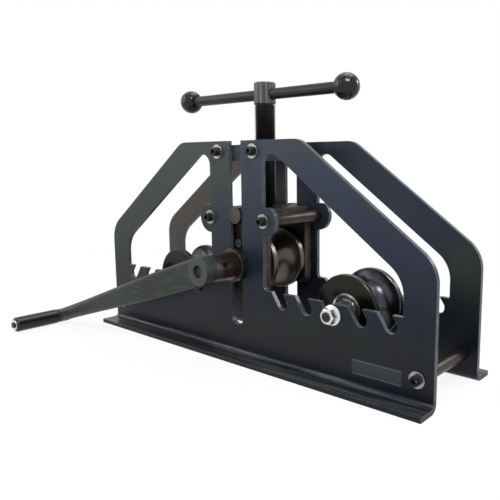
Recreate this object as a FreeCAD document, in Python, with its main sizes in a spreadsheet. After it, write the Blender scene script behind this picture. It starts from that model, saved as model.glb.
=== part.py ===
import FreeCAD, Part
import os
import re

import Sketcher

# Ring roller: a hand tool that rolls tube into rings between three grooved rollers.
#
# Two side plates stand a plate gap apart. The two outer rollers turn on axles laid in the notches of the
# plates. The centre roller is keyed to the crank shaft and sits in a carriage, which the lead screw
# pushes down between the plates. Everything is in millimetres. +Z is up, X runs along the row of rollers
# and the crank is on the -Y side. The origin is on the floor, under the lead screw, midway between the
# plates. The carriage, crank and tee bar are drawn as they stand at rest.

SIZES = {
    # side plates
    "plate_length": 500,
    "plate_height": 247.5,
    "plate_thickness": 5,
    "plate_gap": 90,
    "flange_reach": 23.8,
    "bend_radius": 4,
    "shoulder_height": 134.5,
    "top_width": 187,
    "shoulder_radius": 35,
    "top_corner_radius": 25,
    # windows of the side plates
    "column_width": 84,
    "sill_height": 83.6,
    "end_rim": 33,
    "slanted_rim": 31.8,
    "top_rim": 14.5,
    "window_radius": 33,
    "window_corner_radius": 4,
    "ear_spread": 85,
    "ear_height": 160,
    "ear_radius": 18,
    "ear_shoulder": 14.7,
    # slot for the shaft, and the row of notches for the axles
    "slot_width": 19.2,
    "slot_bottom": 37.6,
    "notch_first": 69.6,
    "notch_pitch": 33.75,
    "notch_count": 5,
    "notch_width": 14.3,
    "notch_slant": 33.5,
    "notch_height": 72.6,
    "axle_notch_count": 2,
    "axle_play": 0.5,
    "axle_height": 72,
    # tie rods and their cap screws
    "lower_rod_spread": 466,
    "lower_rod_height": 28.4,
    "rod_diameter": 14,
    "screw_size": 6,
    "screw_length": 20,
    "screw_head_diameter": 10,
    "screw_head_height": 6,
    "screw_socket": 5,
    "socket_depth": 3,
    "washer_diameter": 16,
    "washer_thickness": 1.6,
    "tap_reserve": 2,
    # threaded block at the top
    "block_drop": 4.5,
    "block_height": 18,
    "block_screw_spread": 56,
    "block_screw_rise": 10.7,
    # outer rollers, their axles, nuts and ball bearings
    "roller_diameter": 75,
    "roller_width": 53,
    "tube_diameter": 38.1,
    "groove_clearance": 0.75,
    "lip_chamfer": 0.8,
    "roller_bore": 30.4,
    "axle_diameter": 17,
    "axle_neck": 12,
    "axle_thread": 10,
    "axle_length": 122,
    "axle_setback": 0.5,
    "nut_height": 10,
    "nut_flats": 15,
    "nut_crown": 14.2,
    "nut_flange_diameter": 21,
    "nut_flange_height": 2,
    "spacer_diameter": 21,
    "bearing_diameter": 35,
    "bearing_width": 10,
    "inner_ring_wall": 3.1,
    "outer_ring_wall": 2.4,
    "seal_thickness": 0.8,
    "seal_inset": 0.4,
    "seal_gap": 0.35,
    # carriage
    "shaft_height": 108,
    "carriage_side_gap": 0.5,
    "cheek_gap": 60,
    "cheek_thickness": 12,
    "cheek_drop": 30,
    "cheek_corner_radius": 6,
    "carriage_rise": 63.5,
    "top_plate_thickness": 12,
    "cheek_screw_spread": 36,
    "cheek_screw_size": 5,
    "cheek_screw_length": 24,
    "cheek_head_diameter": 10,
    "guide_rise": 56,
    "guide_stand_out": 2,
    "guide_spigot": 10,
    "guide_spigot_length": 8,
    "oil_screw_rise": 24,
    "oil_screw_size": 6,
    "oil_screw_length": 9,
    "oil_head_diameter": 9.5,
    "oil_head_height": 5,
    "bush_wall": 3,
    # drive shaft, its washers, collars and key
    "shaft_diameter": 18,
    "shaft_tail": 1.7,
    "journal_diameter": 12.5,
    "journal_length": 15,
    "shaft_end_depth": 3,
    "roller_washer_diameter": 28,
    "thrust_washer_diameter": 36,
    "thrust_washer_thickness": 3,
    "collar_diameter": 37.5,
    "collar_thickness": 6,
    "grub_size": 5,
    "key_width": 5,
    "key_height": 5,
    "key_length": 36,
    # crank: hub with a square boss, flattened arm, turning grip
    "hub_diameter": 32,
    "hub_length": 36.7,
    "boss_front": 108,
    "boss_depth": 24,
    "boss_height": 32.2,
    "boss_arm_side": 12,
    "boss_far_side": 16,
    "hub_grub_size": 8,
    "hub_grub_offset": 23.7,
    "lock_bolt_size": 8,
    "lock_bolt_setback": 4.5,
    "lock_bolt_head_height": 6,
    "lock_bolt_head_diameter": 12.8,
    "arm_length": 310.7,
    "arm_drop_angle": 18.3,
    "arm_root_height": 31.5,
    "arm_root_thickness": 9,
    "arm_middle_share": 0.46,
    "arm_middle_height": 26,
    "arm_middle_thickness": 10.5,
    "arm_waist_share": 0.78,
    "arm_waist_height": 19.8,
    "arm_waist_thickness": 14.5,
    "arm_end_height": 17.6,
    "arm_end_thickness": 17,
    "arm_end_front": 119.5,
    "knuckle_diameter": 18,
    "grip_diameter": 19.4,
    "grip_length": 55.2,
    "grip_edge_radius": 2,
    "stud_diameter": 8,
    "stud_seat": 12,
    "end_washer_diameter": 13,
    "end_washer_thickness": 1.2,
    "end_screw_size": 5,
    "end_screw_length": 12,
    "end_screw_head": 7.5,
    "end_screw_height": 2,
    # lead screw and tee bar
    "lead_diameter": 24,
    "lead_neck_diameter": 16,
    "foot_diameter": 26,
    "foot_thickness": 8,
    "foot_pin_diameter": 4,
    "head_bottom": 290.7,
    "head_height": 24.4,
    "head_diameter": 25.4,
    "head_edge_radius": 2,
    "head_spigot_diameter": 18,
    "head_spigot_length": 3,
    "tee_rise": 10.7,
    "tee_diameter": 12.5,
    "tee_shift": 7.8,
    "ball_spacing": 248.4,
    "ball_diameter": 28.4,
    "ball_seat": 2,
    "ball_flat": 11.5,
    # clearances, each on the radius or on one side
    "thread_clearance": 0.05,
    "running_clearance": 0.05,
    "seat_clearance": 0.02,
    "guide_clearance": 0.5,
    "tee_clearance": 0.1,
    "face_clearance": 0.3,
    "hole_clearance": 0.3,
    "end_chamfer": 1,
}

# Places that several pieces share, worked out from the sizes above.
OUTER_FACE = "(plate_gap / 2 + plate_thickness)"
SLOPE = "((plate_height - shoulder_height) / (plate_length / 2 - top_width / 2))"
SLANT = f"sqrt(1 + {SLOPE}^2)"
WINDOW_OUTER = "(plate_length / 2 - end_rim)"
WINDOW_PEAK = "(plate_height - top_rim)"
PEAK_END = f"(top_width / 2 + (top_rim - slanted_rim * {SLANT}) / {SLOPE})"
ARCH_RADIUS = f"(({PEAK_END} - column_width / 2 - end_chamfer / 4) / (1 + ({SLANT} - 1) / {SLOPE}))"
TAP_DEPTH = "(screw_length - washer_thickness - plate_thickness + tap_reserve)"
BLOCK_BOTTOM = "(plate_height - block_drop - block_height)"
BLOCK_SCREW_HEIGHT = f"({BLOCK_BOTTOM} + block_screw_rise)"
AXLE_X = "(notch_first + axle_notch_count * notch_pitch - axle_play)"
ROLLER_RADIUS = "(roller_diameter / 2)"
GROOVE_RADIUS = "(tube_diameter / 2 + groove_clearance)"
ROLLER_HALF = "(roller_width / 2)"
BEARING_INNER = "(roller_width / 2 - bearing_width)"
INNER_RING_RADIUS = "(axle_diameter / 2 + inner_ring_wall)"
OUTER_RING_RADIUS = "(bearing_diameter / 2 - outer_ring_wall)"
CARRIAGE_HALF = "(ear_spread / 2 - rod_diameter / 2 - carriage_side_gap)"
CHEEK_OUTER = "(cheek_gap / 2 + cheek_thickness)"
CARRIAGE_TOP = "(shaft_height + carriage_rise)"
TOP_PLATE_MIDDLE = "(shaft_height + carriage_rise - top_plate_thickness / 2)"
TOP_PLATE_BOTTOM = "(shaft_height + carriage_rise - top_plate_thickness)"
WASHER_FACE = f"({OUTER_FACE} + face_clearance)"
COLLAR_FACE = f"({OUTER_FACE} + face_clearance + thrust_washer_thickness)"
HUB_FACE = f"({COLLAR_FACE} + collar_thickness)"
JOURNAL_END = "(boss_front - shaft_end_depth)"
ARM_END_MIDDLE = "(arm_end_front - arm_end_thickness / 2)"
GRIP_START = "(arm_end_front + face_clearance)"
GRIP_END = "(arm_end_front + face_clearance + grip_length)"
STUD_END = "(arm_end_front + 2 * face_clearance + grip_length)"
LOCK_BOLT_PLACE = "(boss_front - lock_bolt_setback - lock_bolt_size / 2)"
FOOT_TOP = f"({TOP_PLATE_BOTTOM} - face_clearance)"
FOOT_BOTTOM = f"({TOP_PLATE_BOTTOM} - face_clearance - foot_thickness)"
TEE_HEIGHT = "(head_bottom + tee_rise)"

FRONT, REAR = -1, 1
LEFT, RIGHT = -1, 1
SIDES = {"front": FRONT, "rear": REAR}
HANDS = {"left": LEFT, "right": RIGHT}
ROLE_OF_AXIS = {"X": "XZ_Plane", "Y": "YZ_Plane", "Z": "XZ_Plane"}
SAME_PLACE = 1e-4

doc = FreeCAD.newDocument("RingRoller")
sheet = doc.addObject("Spreadsheet::Sheet", "Sizes")
for row, (size_name, size_value) in enumerate(SIZES.items(), start=1):
    sheet.set(f"A{row}", size_name)
    sheet.set(f"B{row}", str(size_value))
    sheet.setAlias(f"B{row}", size_name)
doc.recompute()

nodes = []


def number(text):
    """Value of an expression of the sheet's sizes."""
    return float(sheet.evalExpression(text))


def bound(text):
    """The same expression as an object outside the sheet writes it."""
    return re.sub(r"[a-z]\w+", lambda word: f"Sizes.{word[0]}" if word[0] in SIZES else word[0], text)


def bind(thing, target, text):
    thing.setExpression(target, bound(text))


def vector(x, y, z=0.0):
    return FreeCAD.Vector(x, y, z)


# ---- sketches ----

def new_body(name):
    made = doc.addObject("PartDesign::Body", name)
    made.Label = name
    return made


def origin_feature(body, role):
    return next(part for part in body.Origin.OriginFeatures if part.Role == role)


def new_sketch(body, role, offset="0"):
    """Sketch on an origin plane. XZ_Plane looks along -Y, so a positive offset is towards the front."""
    made = body.newObject("Sketcher::SketchObject", "Sketch")
    made.AttachmentSupport = [(origin_feature(body, role), "")]
    made.MapMode = "FlatFace"
    bind(made, "AttachmentOffset.Base.z", offset)
    return made


def fix_point(sketch, geometry, position, across, up):
    """Tie one end of a line or arc to a place given by two expressions."""
    for kind, text in (("DistanceX", across), ("DistanceY", up)):
        made = sketch.addConstraint(Sketcher.Constraint(kind, geometry, position, number(text)))
        bind(sketch, f"Constraints[{made}]", text)


def arc_between(start, end, radius, turn):
    """Arc of less than half a turn; turn is 1 for counter-clockwise and -1 for clockwise travel."""
    middle, along = (start + end) / 2, end - start
    left = vector(-along.y, along.x) / along.Length
    height = max(radius ** 2 - (along.Length / 2) ** 2, 0.0) ** 0.5
    centre = middle + left * height * turn
    first, last = (start, end) if turn > 0 else (end, start)
    circle = Part.Circle(centre, vector(0, 0, 1), radius)
    return Part.ArcOfCircle(circle, circle.parameter(first), circle.parameter(last))


def outline(sketch, corners):
    """Closed profile through corners (across, up). A corner that starts an arc adds (radius, turn)."""
    places = [vector(number(corner[0]), number(corner[1])) for corner in corners]
    ends = []
    for corner, start, end in zip(corners, places, places[1:] + places[:1]):
        if len(corner) == 2:
            ends.append((sketch.addGeometry(Part.LineSegment(start, end)), 1, 2))
            continue
        radius, turn = corner[2:]
        arc = sketch.addGeometry(arc_between(start, end, number(radius), turn))
        ends.append((arc, 1, 2) if turn > 0 else (arc, 2, 1))
        made = sketch.addConstraint(Sketcher.Constraint("Radius", arc, number(radius)))
        bind(sketch, f"Constraints[{made}]", radius)
    for (one, _, finish), (other, begin, _) in zip(ends, ends[1:] + ends[:1]):
        sketch.addConstraint(Sketcher.Constraint("Coincident", one, finish, other, begin))
    for (geometry, begin, _), corner in zip(ends, corners):
        fix_point(sketch, geometry, begin, corner[0], corner[1])


def circle(sketch, across, up, radius):
    centre = vector(number(across), number(up))
    made = sketch.addGeometry(Part.Circle(centre, vector(0, 0, 1), number(radius)))
    fix_point(sketch, made, 3, across, up)
    limit = sketch.addConstraint(Sketcher.Constraint("Radius", made, number(radius)))
    bind(sketch, f"Constraints[{limit}]", radius)


def rectangle(sketch, left, right, bottom, top):
    outline(sketch, [(left, bottom), (right, bottom), (right, top), (left, top)])


def hexagon(sketch, flats):
    """Hexagon about the sketch's origin, flats apart."""
    reach = f"{flats} / 2 / cos(30)"
    outline(sketch, [(f"{reach} * cos({60 * k})", f"{reach} * sin({60 * k})") for k in range(6)])


# ---- features ----

def pad(body, sketch, length, midplane=False, backwards=False):
    made = body.newObject("PartDesign::Pad", "Pad")
    made.Profile = sketch
    made.Midplane = midplane
    made.Reversed = backwards
    bind(made, "Length", length)
    return made


def pocket(body, sketch, depth=None, backwards=False):
    """Cut against the sketch's normal, or all the way through both ways when no depth is given."""
    made = body.newObject("PartDesign::Pocket", "Pocket")
    made.Profile = sketch
    made.Reversed = backwards
    if depth is None:
        made.Type = "ThroughAll"
        made.Midplane = True
    else:
        bind(made, "Length", depth)
    return made


def edges_at(shape, places):
    """Names of the straight edges along Y that stand at the places in the XZ plane."""
    names = []
    along = vector(0, 1)
    for index, edge in enumerate(shape.Edges, start=1):
        if len(edge.Vertexes) != 2:
            continue
        one, other = (vertex.Point for vertex in edge.Vertexes)
        if any(max((end - place).cross(along).Length for end in (one, other)) < SAME_PLACE
               for place in places):
            names.append(f"Edge{index}")
    return names


def round_corners(body, radius, corners):
    """Fillet the edges along Y at the corners, given as (x, z) expressions."""
    doc.recompute()
    base = body.Tip
    places = [vector(number(x), 0, number(z)) for x, z in corners]
    made = body.newObject("PartDesign::Fillet", "Fillet")
    made.Base = (base, edges_at(base.Shape, places))
    bind(made, "Radius", radius)
    return made


def place(thing, x="0", y="0", z="0"):
    for letter, text in zip("xyz", (x, y, z)):
        bind(thing, f"Placement.Base.{letter}", text)


def revolve(body, profile, axis="Y"):
    """Turn a profile of (along the axis, radius) corners about an axis through the body's origin."""
    sketch = new_sketch(body, ROLE_OF_AXIS[axis])
    if axis == "Z":
        profile = [(corner[1], corner[0], *corner[2:]) for corner in profile]
    outline(sketch, profile)
    made = body.newObject("PartDesign::Revolution", "Revolution")
    made.Profile = sketch
    made.ReferenceAxis = (sketch, ["V_Axis" if axis == "Z" else "H_Axis"])
    made.Angle = 360
    return made


def turned_away(body, sketch):
    """Turn a sketch's profile away all round the Y axis."""
    made = body.newObject("PartDesign::Groove", "Groove")
    made.Profile = sketch
    made.ReferenceAxis = (sketch, ["H_Axis"])
    made.Angle = 360


def turned(name, profile, axis="Y", at=("0", "0", "0")):
    """Turned piece with its own body, placed in the part."""
    body = new_body(name)
    revolve(body, profile, axis)
    place(body, *at)
    return body


def ring(start, end, inner, outer):
    """Profile of a plain ring, tube or disc between two places on its axis."""
    return [(start, inner), (start, outer), (end, outer), (end, inner)]


def shaft_profile(steps, chamfer=None):
    """Profile of a solid turned piece from (place on the axis, radius of the stretch that follows)."""
    profile = [(steps[0][0], "0")]
    for (start, radius), (end, _) in zip(steps, steps[1:]):
        profile += [(start, radius), (end, radius)]
    profile.append((steps[-1][0], "0"))
    if chamfer:
        first, last = steps[0], steps[-2]
        profile[1:2] = [(first[0], f"{first[1]} - {chamfer}"), (f"{first[0]} + {chamfer}", first[1])]
        end = steps[-1][0]
        profile[-2:-1] = [(f"{end} - {chamfer}", last[1]), (end, f"{last[1]} - {chamfer}")]
    return profile


def keep(name, thing):
    """Register a sub-part; its label is the name of its file."""
    thing.Label = name
    nodes.append(thing)
    return thing


def group(name, members):
    """Node of several separate solids."""
    made = doc.addObject("Part::Compound", name)
    made.Links = members
    return keep(name, made)


def face_rear(body):
    body.Placement.Rotation = FreeCAD.Rotation(vector(0, 0, 1), 180)


# ---- side plates ----

def window_top(x):
    """Height of the window's slanted edge at a distance x from the middle."""
    return f"(plate_height - ({x} - top_width / 2) * {SLOPE} - slanted_rim * {SLANT})"


def foot_profile(side):
    """Bend and foot flange of a plate, in the YZ plane."""
    def y(text):
        return f"{side} * ({text})"
    inner, outer = "plate_gap / 2", OUTER_FACE
    bend = f"{OUTER_FACE} + bend_radius"
    foot_edge = f"{OUTER_FACE} + flange_reach"
    big, turn = "bend_radius + plate_thickness", side
    return [(y(inner), big, big, turn), (y(bend), "0"), (y(foot_edge), "0"),
            (y(foot_edge), "plate_thickness"), (y(bend), "plate_thickness", "bend_radius", -turn),
            (y(outer), big)]


def notch_profile(x):
    """Slanted notch with a round bottom and an open top; its bottom leans away from the middle."""
    def point(across, along):
        return (f"{x} + ({across}) * cos(notch_slant) - ({along}) * sin(notch_slant)",
                f"notch_height + ({across}) * sin(notch_slant) + ({along}) * cos(notch_slant)")
    half = "notch_width / 2"
    run = "(sill_height - notch_height) / cos(notch_slant) + notch_width"
    return [(*point(f"-{half}", "0"), half, 1), (*point("0", f"-{half}"), half, 1),
            point(half, "0"), point(half, run), point(f"-{half}", run)]


def side_plate(name, side):
    """Plate with windows, ears, shaft slot, notches and a foot flange turned outwards."""
    body = new_body(name)
    offset = "plate_gap / 2" if side == FRONT else f"-{OUTER_FACE}"
    web = new_sketch(body, "XZ_Plane", offset)
    half, top, shoulder = "plate_length / 2", "plate_height", "shoulder_height"
    bottom = "bend_radius + plate_thickness"
    outline(web, [(f"-{half}", bottom), (half, bottom), (half, shoulder), ("top_width / 2", top),
                  ("-top_width / 2", top), (f"-{half}", shoulder)])
    pad(body, web, "plate_thickness")
    foot = new_sketch(body, "YZ_Plane")
    outline(foot, foot_profile(side))
    pad(body, foot, "plate_length", midplane=True)
    round_corners(body, "shoulder_radius", [(f"{hand} * {half}", shoulder) for hand in HANDS.values()])
    round_corners(body, "top_corner_radius", [(f"{hand} * top_width / 2", top) for hand in HANDS.values()])

    windows = new_sketch(body, "XZ_Plane", offset)
    column, sill = "column_width / 2", "sill_height"
    for hand in HANDS.values():
        outline(windows, [(f"{hand} * {column}", sill), (f"{hand} * {WINDOW_OUTER}", sill),
                          (f"{hand} * {WINDOW_OUTER}", window_top(WINDOW_OUTER)),
                          (f"{hand} * {PEAK_END}", WINDOW_PEAK), (f"{hand} * {column}", WINDOW_PEAK)])
    pocket(body, windows)
    both = HANDS.values()
    round_corners(body, ARCH_RADIUS,
                  [(f"{hand} * {x}", WINDOW_PEAK) for hand in both for x in (column, PEAK_END)])
    round_corners(body, "window_radius",
                  [(f"{hand} * {WINDOW_OUTER}", window_top(WINDOW_OUTER)) for hand in both])
    round_corners(body, "window_corner_radius", [(f"{hand} * {column}", sill) for hand in both])

    ears = new_sketch(body, "XZ_Plane", offset)
    ear_top = "ear_height + ear_shoulder"
    corner = "(ear_spread / 2 + sqrt(ear_radius^2 - ear_shoulder^2))"
    for hand in both:
        outline(ears, [(f"{hand} * ear_spread / 2", "ear_height - ear_radius", "ear_radius", hand),
                       (f"{hand} * {corner}", ear_top),
                       (f"{hand} * (ear_spread / 2 - ear_radius)", ear_top),
                       (f"{hand} * (ear_spread / 2 - ear_radius)", "ear_height - ear_radius")])
    pad(body, ears, "plate_thickness")
    round_corners(body, "window_corner_radius", [(f"{hand} * {corner}", ear_top) for hand in both])

    slot = new_sketch(body, "XZ_Plane", offset)
    slot_half, slot_centre = "slot_width / 2", "slot_bottom + slot_width / 2"
    slot_top = "plate_height + slot_width"
    outline(slot, [(f"-{slot_half}", slot_centre, slot_half, 1), ("0", "slot_bottom", slot_half, 1),
                   (slot_half, slot_centre), (slot_half, slot_top), (f"-{slot_half}", slot_top)])
    pocket(body, slot)

    holes = new_sketch(body, "XZ_Plane", offset)
    for hand in both:
        for spread, height in (("ear_spread", "ear_height"), ("block_screw_spread", BLOCK_SCREW_HEIGHT),
                               ("lower_rod_spread", "lower_rod_height")):
            circle(holes, f"{hand} * {spread} / 2", height, "screw_size / 2 + hole_clearance")
    pocket(body, holes)

    notch = new_sketch(body, "XZ_Plane", offset)
    outline(notch, notch_profile("notch_first"))
    first_notch = pocket(body, notch)
    doc.recompute()
    row = body.newObject("PartDesign::MultiTransform", "NotchRows")
    row.Originals = [first_notch]
    along = body.newObject("PartDesign::LinearPattern", "NotchRow")
    along.Direction = (origin_feature(body, "X_Axis"), [""])
    bind(along, "Length", "(notch_count - 1) * notch_pitch")
    bind(along, "Occurrences", "notch_count")
    across = body.newObject("PartDesign::Mirrored", "OtherHand")
    across.MirrorPlane = (origin_feature(body, "YZ_Plane"), [""])
    row.Transformations = [along, across]
    body.Tip = row
    return keep(name, body)


# ---- frame: screws, rods and the threaded block ----

def cap_screw(name, size, length, head, head_height, socket=None, depth=None):
    """Socket-head screw along Y: its head is on the -Y side of the origin."""
    steps = [(f"-{head_height}", f"{head} / 2"), ("0", f"{size} / 2"), (length, "0")]
    body = turned(name, shaft_profile(steps))
    if socket:
        hollow = new_sketch(body, "XZ_Plane", head_height)
        hexagon(hollow, socket)
        pocket(body, hollow, depth)
    return body


def on_both_plates(name, maker, places, stand_off):
    """Group of one fastener at (x, z) places on the outside of both plates."""
    members = []
    for side_name, side in SIDES.items():
        for x, z in places:
            member = maker(f"{name}_{side_name}")
            place(member, x, f"{side} * ({stand_off})", z)
            if side == REAR:
                face_rear(member)
            members.append(member)
    return group(name, members)


def plate_screw(name):
    return cap_screw(name, "screw_size", "screw_length", "screw_head_diameter", "screw_head_height",
                     "screw_socket", "socket_depth")


def plate_washer(name):
    inner = "screw_size / 2 + hole_clearance"
    return turned(name, ring("0", "-washer_thickness", inner, "washer_diameter / 2"))


def rod_places():
    both = HANDS.values()
    return ([(f"{hand} * ear_spread / 2", "ear_height") for hand in both]
            + [(f"{hand} * lower_rod_spread / 2", "lower_rod_height") for hand in both])


def tie_rod(name, x, z):
    """Round bar between the plates with a tapped hole in each end."""
    half, radius = "plate_gap / 2", "rod_diameter / 2"
    bore, end = "screw_size / 2 + thread_clearance", f"plate_gap / 2 - {TAP_DEPTH}"
    profile = [(f"-{half}", bore), (f"-{half}", radius), (half, radius), (half, bore),
               (end, bore), (end, "0"), (f"-({end})", "0"), (f"-({end})", bore)]
    return keep(name, turned(name, profile, at=(x, "0", z)))


def tie_rods():
    for (x, z), name in zip(rod_places(), ("upper_left", "upper_right", "lower_left", "lower_right")):
        tie_rod(f"{name}_tie_rod", x, z)
    stand_off = f"{OUTER_FACE} + washer_thickness"
    on_both_plates("tie_rod_screws", plate_screw, rod_places(), stand_off)
    on_both_plates("tie_rod_washers", plate_washer, rod_places(), OUTER_FACE)


def nut_block():
    """Steel block across the plates, threaded for the lead screw."""
    body = new_body("nut_block")
    base = new_sketch(body, "XY_Plane", BLOCK_BOTTOM)
    rectangle(base, "-column_width / 2", "column_width / 2", "-plate_gap / 2", "plate_gap / 2")
    pad(body, base, "block_height")
    bore = new_sketch(body, "XY_Plane", BLOCK_BOTTOM)
    circle(bore, "0", "0", "lead_diameter / 2 + thread_clearance")
    pocket(body, bore)
    places = [(f"{hand} * block_screw_spread / 2", BLOCK_SCREW_HEIGHT) for hand in HANDS.values()]
    for side in SIDES.values():
        taps = new_sketch(body, "XZ_Plane", f"{-side} * plate_gap / 2")
        for x, z in places:
            circle(taps, x, z, "screw_size / 2 + thread_clearance")
        pocket(body, taps, TAP_DEPTH, backwards=(side == REAR))
    keep("nut_block", body)
    on_both_plates("nut_block_screws", plate_screw, places, f"{OUTER_FACE} + washer_thickness")
    on_both_plates("nut_block_washers", plate_washer, places, OUTER_FACE)


# ---- outer rollers ----

def grooved_roller(name, bore_profile, at):
    """Steel roller with a half-round groove for the tube; bore_profile closes the inside."""
    lip, half, radius = "lip_chamfer", ROLLER_HALF, ROLLER_RADIUS
    edge = f"sqrt({GROOVE_RADIUS}^2 - {lip}^2)"
    low = f"{radius} - {lip}"
    rim = [(f"-{half}", low), (f"-{half} + {lip}", radius), (f"-{edge} - {lip}", radius), (f"-{edge}", low),
           (edge, low), (f"{edge} + {lip}", radius), (f"{half} - {lip}", radius), (half, low)]
    body = turned(name, rim + bore_profile, at=at)
    groove = new_sketch(body, "YZ_Plane")
    circle(groove, "0", radius, GROOVE_RADIUS)
    turned_away(body, groove)
    return keep(name, body)


def both_ends(name, profile_at, at):
    """Group of two turned pieces, one at each end of an axle; profile_at takes the side."""
    return group(name, [turned(f"{name}_end", profile_at(side), at=at) for side in SIDES.values()])


def flange_nut(name, side, at):
    """Hexagon nut with a flange against the plate, on the axle's threaded end."""
    x, _, z = at
    bore, flange = "axle_thread / 2 + thread_clearance", "nut_flange_diameter / 2"
    profile = [("0", bore), ("0", flange), ("-nut_flange_height / 2", flange),
               ("-nut_flange_height", "nut_flats / 2"), ("-nut_flange_height", bore)]
    body = turned(name, profile)
    flats = new_sketch(body, "XZ_Plane", "nut_flange_height / 2")
    hexagon(flats, "nut_flats")
    circle(flats, "0", "0", bore)
    pad(body, flats, "nut_height - nut_flange_height / 2")
    crown = new_sketch(body, "YZ_Plane")
    corner = "nut_flats / 2 / cos(30) + end_chamfer"
    outline(crown, [("-nut_height", "nut_crown / 2"), ("-nut_height", corner),
                    (f"-nut_height + ({corner} - nut_crown / 2) * tan(30)", corner)])
    turned_away(body, crown)
    place(body, x, f"{side} * {OUTER_FACE}", z)
    if side == REAR:
        face_rear(body)
    return body


def outer_roller(hand_name, hand):
    """Roller on two sealed ball bearings, with its axle clamped in a notch of each plate."""
    at = (f"{hand} * {AXLE_X}", "0", "axle_height")
    half, inner = ROLLER_HALF, BEARING_INNER
    seat, shoulder = "bearing_diameter / 2 + seat_clearance", "roller_bore / 2"
    bore_profile = [(half, seat), (inner, seat), (inner, shoulder), (f"-{inner}", shoulder),
                    (f"-{inner}", seat), (f"-{half}", seat)]
    grooved_roller(f"{hand_name}_roller", bore_profile, at)

    thread_start, neck_start = f"({OUTER_FACE} - axle_setback)", "plate_gap / 2"
    steps = [("-axle_length / 2", "axle_thread / 2"), (f"-{thread_start}", "axle_neck / 2"),
             (f"-{neck_start}", "axle_diameter / 2"), (neck_start, "axle_neck / 2"),
             (thread_start, "axle_thread / 2"), ("axle_length / 2", "0")]
    axle = turned(f"{hand_name}_axle", shaft_profile(steps, chamfer="end_chamfer"), at=at)
    keep(f"{hand_name}_axle", axle)
    nuts = f"{hand_name}_axle_nuts"
    group(nuts, [flange_nut(f"{nuts}_{side_name}", side, at) for side_name, side in SIDES.items()])

    bore = "axle_diameter / 2 + seat_clearance"
    spacers = f"{hand_name}_axle_spacers"
    tubes = [ring(f"{side} * {half}", f"{side} * plate_gap / 2", bore, "spacer_diameter / 2")
             for side in SIDES.values()]
    tubes.append(ring(f"-{inner}", inner, bore, "spacer_diameter / 2"))
    group(spacers, [turned(f"{spacers}_tube", tube, at=at) for tube in tubes])

    both_ends(f"{hand_name}_bearing_inner_rings",
              lambda side: ring(f"{side} * {inner}", f"{side} * {half}", bore, INNER_RING_RADIUS), at)
    both_ends(f"{hand_name}_bearing_outer_rings",
              lambda side: ring(f"{side} * {inner}", f"{side} * {half}", OUTER_RING_RADIUS,
                                "bearing_diameter / 2"), at)
    seals = f"{hand_name}_bearing_seals"
    faces = [(f"{side} * ({half} - seal_inset)", f"{side} * ({half} - seal_inset - seal_thickness)")
             for side in SIDES.values()]
    faces += [(f"{side} * ({inner} + seal_inset)", f"{side} * ({inner} + seal_inset + seal_thickness)")
              for side in SIDES.values()]
    group(seals, [turned(f"{seals}_disc", ring(start, end, f"{INNER_RING_RADIUS} + seal_gap",
                                               OUTER_RING_RADIUS), at=at) for start, end in faces])


# ---- carriage ----

def cheek(name, side):
    """Cheek plate of the carriage, bored for the shaft bush, the guide pin and its screws."""
    body = new_body(name)
    offset = "cheek_gap / 2" if side == FRONT else f"-{CHEEK_OUTER}"
    outer_offset = f"{-side} * {CHEEK_OUTER}"
    rear = side == REAR
    profile = new_sketch(body, "XZ_Plane", offset)
    bottom = "shaft_height - cheek_drop"
    rectangle(profile, f"-{CARRIAGE_HALF}", CARRIAGE_HALF, bottom, CARRIAGE_TOP)
    pad(body, profile, "cheek_thickness")
    round_corners(body, "cheek_corner_radius", [(f"{hand} * {CARRIAGE_HALF}", bottom) for hand in (-1, 1)])

    bores = new_sketch(body, "XZ_Plane", offset)
    circle(bores, "0", "shaft_height", "shaft_diameter / 2 + bush_wall + seat_clearance")
    for hand in HANDS.values():
        circle(bores, f"{hand} * cheek_screw_spread / 2", TOP_PLATE_MIDDLE,
               "cheek_screw_size / 2 + hole_clearance")
    pocket(body, bores)
    blind = new_sketch(body, "XZ_Plane", outer_offset)
    circle(blind, "0", "shaft_height + guide_rise", "guide_spigot / 2 + seat_clearance")
    circle(blind, "0", "shaft_height + oil_screw_rise", "oil_screw_size / 2 + thread_clearance")
    pocket(body, blind, "oil_screw_length + end_chamfer", backwards=rear)
    sinks = new_sketch(body, "XZ_Plane", outer_offset)
    for hand in HANDS.values():
        circle(sinks, f"{hand} * cheek_screw_spread / 2", TOP_PLATE_MIDDLE,
               "cheek_head_diameter / 2 + hole_clearance")
    pocket(body, sinks, "(cheek_head_diameter - cheek_screw_size) / 2", backwards=rear)
    return keep(name, body)


def countersunk_screw(name, x, side):
    """Screw from a cheek's outer face into the end of the top plate."""
    head, shank = "cheek_head_diameter / 2", "cheek_screw_size / 2"
    profile = [("0", "0"), ("0", head), (f"{head} - {shank}", shank), ("cheek_screw_length", shank),
               ("cheek_screw_length", "0")]
    body = turned(name, profile, at=(x, f"{side} * {CHEEK_OUTER}", TOP_PLATE_MIDDLE))
    if side == REAR:
        face_rear(body)
    return body


def top_plate():
    """Bar between the cheeks that takes the thrust of the lead screw; the screw's neck passes through."""
    body = new_body("carriage_top_plate")
    base = new_sketch(body, "XY_Plane", TOP_PLATE_BOTTOM)
    rectangle(base, f"-{CARRIAGE_HALF}", CARRIAGE_HALF, "-cheek_gap / 2", "cheek_gap / 2")
    circle(base, "0", "0", "lead_neck_diameter / 2 + face_clearance")
    pad(body, base, "top_plate_thickness")
    for side in SIDES.values():
        taps = new_sketch(body, "XZ_Plane", f"{-side} * cheek_gap / 2")
        for hand in HANDS.values():
            circle(taps, f"{hand} * cheek_screw_spread / 2", TOP_PLATE_MIDDLE,
                   "cheek_screw_size / 2 + thread_clearance")
        pocket(body, taps, "cheek_screw_length - cheek_thickness + end_chamfer", backwards=(side == REAR))
    return keep("carriage_top_plate", body)


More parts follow.
